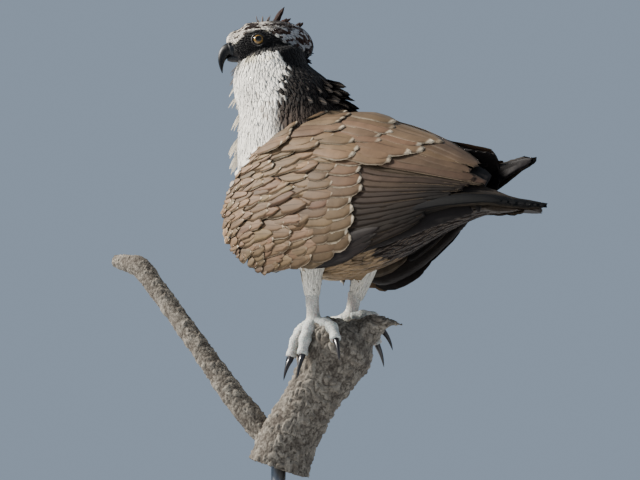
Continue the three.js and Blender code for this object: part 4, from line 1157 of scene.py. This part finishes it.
# Raised hackles of the hind neck: root x, z and tip x, z in mm, half width, spread and count.
HACKLES = [
    (-22, 676, -6, 670, 3.4, 22, 9),
    (-6, 668, 26, 655.5, 4.6, 20, 5),
    (6, 655, 30, 646, 4.2, 30, 9),
    (10, 647, 39, 634.5, 2.8, 24, 5),
    (16, 636, 42, 624, 4.5, 36, 9),
]
rows, cols = [], []
for x0, z0, x1, z1, half, spread, count in HACKLES:
    for k in range(count):
        f = 2 * k / (count - 1) - 1
        a = np.array([x0 - 26 * f * f - 8, spread * f, z0 + 3])
        b = np.array(
            [
                x0 + (x1 - x0) * (1 - 0.35 * abs(f)) - 26 * f * f, 1.3 * spread * f,
                z0 + (z1 - z0) + 3 * rng.normal() * (f != 0)
            ]
        )
        rows.append([*a, *b, half, 0.1, 0.9 - 0.2 * f, 0.5])
        cols.append(srgb(17, 12, 11))
leaf_set(coat, rows, colour=np.array(cols))
# Ruffled feathers of the throat and breast: the same columns.
RUFFLES = [
    (-146, 712, -158, 704, 0.9, 10, 9),
    (-146, 700, -157, 690, 0.9, 12, 9),
    (-144, 686, -156, 674, 1.6, 16, 9),
    (-141, 668, -151, 655, 2.0, 20, 9),
    (-137, 640, -147, 622, 2.2, 24, 11),
    (-138, 606, -151, 586, 2.6, 26, 11),
    (-138, 586, -150, 566, 2.8, 26, 11),
]
rows, cols = [], []
for x0, z0, x1, z1, half, spread, count in RUFFLES:
    for k in range(count):
        f = 2 * k / (count - 1) - 1
        a = np.array([x0 + 18 * f * f + 5, spread * f - 8, z0 + 3])
        b = np.array([x1 + 20 * f * f + 2 * rng.normal(), 1.1 * spread * f - 8, z1 + 2 * rng.normal()])
        rows.append([*a, *b, half, -0.8, 0.1 * f, 0.5])
        # Painted shade: the ruffles high on the throat are grey, on feathers that are white.
        cols.append(srgb(232, 226, 214) if z0 < 695 else srgb(120, 116, 116))
leaf_set(coat, rows, colour=np.array(cols))
coat.finish(PLUME)


# Eyes, lids and bill.
def solid(name, rings, mat, replaces=(), colours=None):
    """A closed swept piece as its own object."""
    pts, lps, szs = tube(rings)
    lps = outward(pts, lps, szs)

    def padded_end(a):
        a = a.reshape(rings.shape[0], rings.shape[1], -1)
        return np.concatenate([a.reshape(-1, a.shape[-1]), a[0].mean(0)[None], a[-1].mean(0)[None]])

    colours = {k: padded_end(c) for k, c in (colours or {}).items()}
    obj = mesh_object(name, pts, lps, szs, None, colours)
    obj.data.materials.append(mat)
    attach(obj, "root")
    if replaces:
        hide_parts(*replaces)
    return obj


eye_mat, tree, shader = material("eye_wet", 0.2, 0.2, Coat_Weight=0.45, Coat_Roughness=0.03)
tree.links.new(stored_colour(tree), shader.inputs["Base Color"])

lid_mat, tree, shader = material("lid_skin", 0.5, 0.4)
col = stored_colour(tree)
tree.links.new(
    tone(tree, col, ramp(tree, grain(tree, 900.0), 0.3, 0.7, 0.7, 1.15)), shader.inputs["Base Color"]
)
bumped(tree, shader, 0.5, 0.0003, grain(tree, 1400.0, 4.0))

for side, hand in (("left", 1), ("right", -1)):
    n, k = 90, 72
    polar = np.concatenate([np.linspace(0.01, 1.25, n - 20), np.linspace(1.3, 3.13, 20)])
    turn = np.linspace(0, 2 * np.pi, k, endpoint=False)
    pp, tt = np.meshgrid(polar, turn, indexing="ij")
    radius = EYE_RADIUS - 0.25 + 0.45 * np.exp(-((pp / 0.5) ** 2))
    at = np.stack(
        [radius * np.sin(pp) * np.cos(tt), hand * radius * np.cos(pp), radius * np.sin(pp) * np.sin(tt)],
        -1
    )
    off = np.sin(pp) * EYE_RADIUS
    spokes = noise(np.stack([np.cos(tt) * 9, np.sin(tt) * 9, off * 0.35], -1), 4)
    iris = blend(srgb(150, 116, 50), srgb(86, 62, 28), spokes)
    iris = blend(iris, srgb(64, 46, 24), smooth(4.9, 3.9, off) * 0.7)
    iris = blend(iris, srgb(40, 30, 20), smooth(5.6, 6.6, off) * 0.9)
    colour = blend(iris, srgb(4, 4, 5), smooth(3.95, 3.65, off))
    colour = blend(colour, srgb(22, 18, 18), smooth(6.7, 7.1, off))
    solid(
        f"eye_{side}_ball", from_head(at + EYE * [1, hand, 1]), eye_mat, [f"eye_{side}"],
        {"Col": colour}
    )
    n, k = 72, 14
    a = np.linspace(0, 2 * np.pi, n, endpoint=False)
    b = np.linspace(0, 2 * np.pi, k, endpoint=False)
    aa, bb = np.meshgrid(a, b, indexing="ij")
    rx, rz = 7.7 + 0.5 * np.cos(aa) ** 2, 7.3 - 0.35 * np.sin(aa)
    fold = 1.0 + 0.14 * np.sin(aa * 17 + 2 * np.sin(3 * aa)) + 0.35 * smooth(0.2, 0.9, np.sin(aa))
    rr = fold * (1.25 + 0.2 * np.cos(bb))
    ring = np.stack([
        np.cos(aa) * (rx + rr * np.cos(bb)) * 1.02,
        hand * (3.9 + 0.55 * np.sin(aa) + rr * 0.95 * np.sin(bb)), np.sin(aa) * (rz + rr * np.cos(bb)),
    ], -1)
    pts = from_head(ring + EYE * [1, hand, 1]).reshape(-1, 3)
    i, j = np.meshgrid(np.arange(n), np.arange(k), indexing="ij")
    quad = np.stack(
        [i * k + j, i * k + (j + 1) % k, ((i + 1) % n) * k + (j + 1) % k, ((i + 1) % n) * k + j], -1
    ).reshape(-1, 4)
    lps = outward(pts, quad.ravel(), np.full(len(quad), 4))
    low_back = smooth(0.3, 0.95, np.cos(aa + 2.3))
    colour = blend(srgb(34, 29, 28), srgb(150, 146, 138), 0.75 * low_back * smooth(0.2, 0.9, np.cos(bb)))
    lid = mesh_object(
        f"lid_{side}", pts, lps, np.full(len(quad), 4), colours={"Col": colour.reshape(-1, 3)}
    )
    lid.data.materials.append(lid_mat)
    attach(lid, "root")

bill_mat, tree, shader = material("bill_horn", 0.45, 0.2, Coat_Weight=0.05, Coat_Roughness=0.3)
col = stored_colour(tree)
lines = grain(tree, 120.0, 4.0, (1, 1, 0.35))
tree.links.new(tone(tree, col, ramp(tree, lines, 0.3, 0.7, 0.75, 1.25)), shader.inputs["Base Color"])
tree.links.new(ramp(tree, lines, 0.3, 0.7, 0.36, 0.52), shader.inputs["Roughness"])
bumped(tree, shader, 0.3, 0.0004, lines)

UPPER = [
    [38, 0, -2, 12, 10], [49, 0, -2.5, 11.5, 9.5], [57, 0, -4, 9.5, 8], [62, 0, -9, 7.4, 5.8],
    [65, 0, -17, 4.8, 4], [65.2, 0, -26, 2.6, 2.3], [63.8, 0, -35, 0.5, 0.5]
]
LOWER = [
    [36, 0, -15, 4.2, 7.5], [46, 0, -15.4, 4.2, 7.2], [53, 0, -15.6, 3.6, 5.6], [57.5, 0, -15.8, 2, 3.2]
]
rings, uu, aa = swept(UPPER, 90, 56)
cere = smooth(55.5, 53.5, rings[..., 0] - 0.25 * (rings[..., 2] + 2))
middle = rings.mean(1, keepdims=True)
rings = middle + (rings - middle) * (
    1 + 0.045 * cere - 0.03 * smooth(0.3, 1, np.abs(np.sin(aa))) * (1 - cere)
)[..., None]
slot_at = np.minimum(
    np.linalg.norm((rings - [52, 8, 2]) * [0.55, 0.6, 1.0], axis=-1),
    np.linalg.norm((rings - [52, -8, 2]) * [0.55, 0.6, 1.0], axis=-1)
)
rings = rings + (middle - rings) * (0.22 * smooth(1.9, 0.7, slot_at))[..., None]
horn = blend(srgb(9, 9, 12), srgb(28, 31, 36), cere * (0.55 + 0.3 * noise(rings * 0.4)))
# Painted shade: darker in and round the nostril slits.
horn = blend(horn, srgb(8, 8, 10), smooth(2.0, 1.0, slot_at))
solid("bill_top", from_head(rings), bill_mat, ["bill_upper"], {"Col": horn})
rings, uu, aa = swept(LOWER, 40, 40)
horn = blend(srgb(10, 10, 12), srgb(24, 25, 28), smooth(54, 46, rings[..., 0]))
solid("bill_under", from_head(rings), bill_mat, ["bill_lower"], {"Col": horn})

# Feet.
foot_mat, tree, shader = material("foot_scales", 0.55, 0.35, Subsurface_Weight=0.05)
col = stored_colour(tree)
cells = node(
    tree, "ShaderNodeTexVoronoi",
    {"Vector": node(tree, "ShaderNodeTexCoord").outputs["Object"], "Scale": 620.0}
).outputs["Distance"]
# Painted shade: each scale darker towards its edges, in the cracks between the scales.
col = tone(tree, col, ramp(tree, cells, 0.25, 0.75, 1.08, 0.72))
col = tone(tree, col, ramp(tree, grain(tree, 160.0), 0.3, 0.7, 0.85, 1.1))
tree.links.new(col, shader.inputs["Base Color"])
bumped(tree, shader, 0.6, 0.0005, ramp(tree, cells, 0.2, 0.8, 1.0, 0.0))

claw_mat, tree, shader = material("claw_horn", 0.28, 0.5, Coat_Weight=0.2)
lines = grain(tree, 200.0, 3.0, (1, 1, 0.3))
tree.links.new(
    mixed(tree, ramp(tree, lines, 0.35, 0.7), rgba(16, 14, 16), rgba(44, 40, 42)),
    shader.inputs["Base Color"]
)


def normals_of(rings):
    du = np.gradient(rings, axis=0)
    dv = np.roll(rings, -1, 1) - np.roll(rings, 1, 1)
    n = unit(np.cross(du, dv))
    middle = rings.mean(1, keepdims=True)
    flip = np.sign(((rings - middle) * n).sum(-1, keepdims=True))
    return n * np.where(flip == 0, 1, flip)


CLAW_LENGTH = 27
TOE_RADII = [9.2, 8.2, 7.4, 6.2]


def claw_rows(points):
    end, before = np.array(points[-1], float), np.array(points[-2], float)
    ahead = (end - before) / np.linalg.norm(end - before)
    out = np.array([end[0] - 8, end[1] + 8, 0.0])
    heading = ahead + 0.35 * out / np.linalg.norm(out)
    heading /= np.linalg.norm(heading)
    at = end + 3.5 * ahead
    rows = [[*(end - 3.0 * ahead), 4.4, 4.2]]
    for i in range(7):
        r = 4 * (1 - i / 6) ** 0.8 + 0.2
        rows.append([*at, r, r * 0.85])
        heading = heading + np.array([0, 0, -0.22])
        heading /= np.linalg.norm(heading)
        at = at + heading * CLAW_LENGTH / 6
    return rows


for side in ("left", "right"):
    toe_parts, claw_parts, toe_cols = [], [], []
    for k, pts in enumerate(TOES[side]):
        rows = [[*p, r, r] for p, r in zip(pts, TOE_RADII)]
        rings, uu, aa = swept(rows, 70, 32, 0.0, (0.4, 0.9, 0.1))
        grow = 0.7 * np.sin(uu * np.pi * 7) - 0.9 * smooth(0.97, 1, uu)
        top = smooth(-0.2, 0.6, unit(rings - rings.mean(1, keepdims=True))[..., 2])
        scutes = top * 0.55 * np.abs(np.sin(uu * np.pi * 15)) ** 0.5
        pads = (1 - top) * 0.9 * noise(rings * 0.55, k)
        rings = rings + normals_of(rings) * (grow + scutes + pads - 0.7)[..., None]
        toe_parts.append(tube(rings))
        # Painted shade: darker on the underside of each toe and in the grooves between the scales.
        groove = smooth(0.35, 0.0, np.abs(np.sin(uu * np.pi * 15))) * top
        base = blend(srgb(206, 208, 202), srgb(150, 152, 146), 0.6 * (1 - top) + 0.5 * groove)
        base = base.reshape(-1, 3)
        toe_cols.append(np.concatenate([base, base[:2]]))
        claw_parts.append(tube(swept(claw_rows(pts), 40, 20, 0.0, (0.4, 0.9, 0.1))[0]))
    rings, uu, aa = swept(TARSI[side], 60, 36)
    front = smooth(0.0, 0.7, -np.cos(aa))
    scale_line = np.abs(np.sin(uu * np.pi * 9)) ** 0.5
    rings = rings + normals_of(rings) * (
        0.5 * front * scale_line + 0.6 * noise(rings * 0.7, 8) - 0.5
    )[..., None]
    toe_parts.append(tube(rings))
    # Painted shade: darker in the grooves between the front scales.
    base = blend(srgb(214, 212, 202), srgb(158, 156, 148), 0.5 * (1 - scale_line) * front + 0.15)
    base = base.reshape(-1, 3)
    toe_cols.append(np.concatenate([base, base[:2]]))
    pts, lps, szs = join_parts(toe_parts)
    foot = mesh_object(f"foot_{side}", pts, lps, szs, colours={"Col": np.concatenate(toe_cols)})
    foot.data.materials.append(foot_mat)
    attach(foot, "root")
    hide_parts(f"tarsus_{side}", *[f"toe_{side}_{k}" for k in range(1, 5)])
    pts, lps, szs = join_parts(claw_parts)
    claws = mesh_object(f"claws_{side}", pts, lps, szs)
    claws.data.materials.append(claw_mat)
    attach(claws, "root")
    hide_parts(*[f"claw_{side}_{k}" for k in range(1, 5)])

# Branch.
MAIN = [
    [-52, -36, 172, 40, 41], [-41, -32, 205, 36, 39], [-19, -24, 245, 33, 36], [0, -16, 280, 37, 40],
    [8, -8, 308, 47, 50], [16, -2, 328, 46, 48], [20, 4, 342, 30, 34]
]
KNOB = [
    [22, 2, 322, 32, 34], [46, 8, 336, 20, 24], [64, 10, 346, 13, 16], [82, 10, 346, 5, 7],
    [100, 10, 342, 1.5, 2.5]
]
SPLINTER = [[34, 22, 330, 14, 12], [44, 28, 352, 6, 6], [50, 31, 366, 1, 1.5]]
SIDE_BRANCH = [
    [-46, -32, 200, 17, 17], [-67, -38, 212, 16.5, 16.5], [-103, -50, 254, 16, 16],
    [-136, -58, 298, 14.5, 14.5], [-169, -63, 340, 13.5, 13.5],
    [-222, -68, 403, 13.5, 13.5], [-254, -70, 439, 14.5, 14.5], [-274, -70, 447, 12.5, 12.5],
    [-299, -70, 454, 9.5, 9.5],
]

bark_mat, tree, shader = material("bark", 0.88, 0.2)
depth = node(tree, "ShaderNodeAttribute", attribute_name="depth").outputs["Fac"]
patches = grain(tree, 28.0, 5.0, rough=0.65)
grit = grain(tree, 420.0, 5.0)
col = mixed(tree, ramp(tree, grain(tree, 70.0, 4.0), 0.35, 0.65), rgba(104, 97, 88), rgba(134, 127, 116))
# Painted shade: the bark darker in its cracks.
col = mixed(tree, ramp(tree, depth, 0.26, 0.04), col, rgba(56, 49, 43))
lichen = calc(tree, "MULTIPLY", ramp(tree, patches, 0.58, 0.68), ramp(tree, depth, 0.2, 0.5))
col = mixed(tree, calc(tree, "MULTIPLY", lichen, 0.3), col, rgba(160, 160, 146))
col = tone(tree, col, ramp(tree, grit, 0.3, 0.7, 0.72, 1.2))
tree.links.new(col, shader.inputs["Base Color"])
bumped(tree, shader, 0.7, 0.0012, grit)


def bark_relief(p, axis, size):
    """Level of ridged, plated bark at points p along a branch axis, low in the cracks."""
    axis = np.asarray(axis, float) / np.linalg.norm(axis)
    along = p @ axis
    flat = p - along[:, None] * axis
    q = flat * (1.0 / size) + (along * 0.38 / size)[:, None] * axis
    warp = np.stack([fbm(q * 0.6, 3, 40), fbm(q * 0.6, 3, 50), fbm(q * 0.6, 3, 60)], 1)
    q = q + 1.4 * warp
    ridge = 1 - np.abs(2 * fbm(q, 3, 1) - 1) * 2.6
    plates = np.clip(1 - ridge, 0, 1)
    split = fbm(flat * 0.05 + axis * (along * 0.11)[:, None] + warp, 3, 7)
    cracks = smooth(0.02, 0.22, np.abs(split - 0.5))
    fine = fbm(p * 0.5, 4, 3)
    return 0.72 * smooth(0.1, 0.75, plates) * cracks + 0.28 * fine


pts, lps, szs = join_parts(
    [
        tube(swept(MAIN, 60, 60, -0.4)[0]), tube(swept(KNOB, 40, 32, -0.4)[0]),
        tube(swept(SPLINTER, 30, 20)[0])
    ]
)
branch = mesh_object("branch_main", pts, lps, szs)
remesh = branch.modifiers.new("remesh", "REMESH")
remesh.mode = "VOXEL"
remesh.voxel_size = 0.0012
relax = branch.modifiers.new("relax", "SMOOTH")
relax.factor = 0.6
relax.iterations = 6
depsgraph = bpy.context.evaluated_depsgraph_get()
fresh = bpy.data.meshes.new_from_object(branch.evaluated_get(depsgraph))
branch.modifiers.clear()
branch.data = fresh


def carve(obj, axis_of, size, height):
    me = obj.data
    co = np.zeros(len(me.vertices) * 3, np.float32)
    no = np.zeros(len(me.vertices) * 3, np.float32)
    me.vertices.foreach_get("co", co)
    me.vertex_normals.foreach_get("vector", no)
    co, no = co.reshape(-1, 3).astype(float) * 1000, no.reshape(-1, 3).astype(float)
    level = bark_relief(co, axis_of, size)
    big = fbm(co * 0.03, 3, 77) - 0.5
    co = co + no * ((level - 0.6) * height + big * height * 1.2)[:, None]
    me.vertices.foreach_set("co", (co * 0.001).astype(np.float32).ravel())
    me.attributes.new("depth", "FLOAT", "POINT").data.foreach_set("value", level.astype(np.float32))
    me.polygons.foreach_set("use_smooth", [True] * len(me.polygons))
    me.update()
    me.materials.clear()
    me.materials.append(bark_mat)
    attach(obj, "root")


carve(branch, (0.32, 0.14, 0.94), 7.0, 3.4)
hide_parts("perch_main")
rings, uu, aa = swept(SIDE_BRANCH, 520, 64, -0.4)
pts, lps, szs = tube(rings)
side_branch = mesh_object("branch_side", pts, outward(pts, lps, szs), szs)
carve(side_branch, (-0.66, -0.1, 0.74), 4.2, 2.0)
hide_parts("perch_side")

# Stand.
board_paint, tree, shader = material("stand_paint", 0.4, 0.4, Coat_Weight=0.2, Coat_Roughness=0.3)
rings_tex = grain(tree, 9.0, 6.0, (0.25, 6.0, 3.0), 0.62)
pores = grain(tree, 160.0, 3.0, (0.08, 1.6, 1.0))
col = mixed(tree, ramp(tree, rings_tex, 0.35, 0.65), rgba(20, 20, 22), rgba(30, 30, 33))
col = tone(tree, col, ramp(tree, pores, 0.35, 0.6, 0.75, 1.05))
tree.links.new(col, shader.inputs["Base Color"])
bumped(tree, shader, 0.12, 0.0003, pores)
steel, tree, shader = material("stand_steel", 0.3, 0.5, Metallic=1.0)
scratch = grain(tree, 300.0, 3.0, (1, 1, 0.02))
tree.links.new(
    mixed(tree, scratch, rgba(122, 124, 128), rgba(160, 162, 166)), shader.inputs["Base Color"]
)
tree.links.new(ramp(tree, scratch, 0.3, 0.7, 0.24, 0.4), shader.inputs["Roughness"])

k = 12
corners = [(152, 107, 0), (-152, 107, 90), (-152, -107, 180), (152, -107, 270)]
outline_xy = np.array([
    [cx, cy, math.cos(math.radians(a0 + 90 * i / k)), math.sin(math.radians(a0 + 90 * i / k))]
    for cx, cy, a0 in corners
    for i in range(k + 1)
])
levels = [
    (0.0, 1.4), (0.5, 0.5), (1.4, 0.0), (14.0, 0.0), (15.4, 0.3), (16.7, 1.2), (17.6, 2.6), (18.0, 4.4)
]
rings = np.stack([
    np.column_stack(
        [
            outline_xy[:, 0] + (28 - inset) * outline_xy[:, 2],
            outline_xy[:, 1] + (28 - inset) * outline_xy[:, 3], np.full(len(outline_xy), z)
        ]
    )
    for z, inset in levels
])
solid("stand_board", rings, board_paint, ["stand_base"])


def turned(profile, count=72):
    """Rings round the rod's axis from pairs of height and radius."""
    a = np.linspace(0, 2 * np.pi, count, endpoint=False)
    return np.stack(
        [
            np.column_stack([-52 + r * np.cos(a), -36 + r * np.sin(a), np.full(count, z)])
            for z, r in profile
        ]
    )


solid(
    "stand_post", turned([(18.3, 8.6), (18.6, 9), (197.5, 9), (198.3, 8.4)]), steel,
    ["stand_rod"]
)
solid(
    "stand_ring",
    turned([(18.3, 21.4), (18.9, 22), (24.0, 21.2), (27.0, 18.6), (28.0, 17.4), (28.3, 15.5)]), steel,
    ["stand_collar"]
)

# Stage and light.
bpy.ops.mesh.primitive_plane_add(size=9, location=(0, 0, -0.0005))
floor = bpy.context.object
floor.name = "floor"
floor_mat, tree, shader = material("floor_plain", 0.8, 0.2)
tree.links.new(
    mixed(tree, grain(tree, 3.0), rgba(206, 208, 212), rgba(212, 214, 217)), shader.inputs["Base Color"]
)
floor.data.materials.append(floor_mat)
floor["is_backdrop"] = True


def area(name, at, power, size, colour):
    data = bpy.data.lights.new(name, "AREA")
    data.energy = power
    data.size = size
    data.color = colour
    lamp = bpy.data.objects.new(name, data)
    bpy.context.scene.collection.objects.link(lamp)
    lamp.location = at
    lamp.rotation_euler = (Vector((0, 0, 0.5)) - lamp.location).to_track_quat("-Z", "Y").to_euler()


area("key", (-1.9, -1.15, 2.1), 245, 0.5, (1.0, 0.955, 0.88))
area("fill", (2.2, -1.2, 0.9), 4, 1.8, (0.86, 0.92, 1.0))
area("back", (0.9, 2.2, 1.9), 16, 1.4, (0.95, 0.97, 1.0))
world = bpy.data.worlds.new("studio")
bpy.context.scene.world = world
world.use_nodes = True
world.node_tree.nodes["Background"].inputs["Color"].default_value = (0.46, 0.58, 0.74, 1)
world.node_tree.nodes["Background"].inputs["Strength"].default_value = 0.55

box_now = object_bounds()
plain = lambda b: [[float(x) for x in c] for c in b]
{"cad": plain(CAD_BOX), "visual": plain(box_now)}
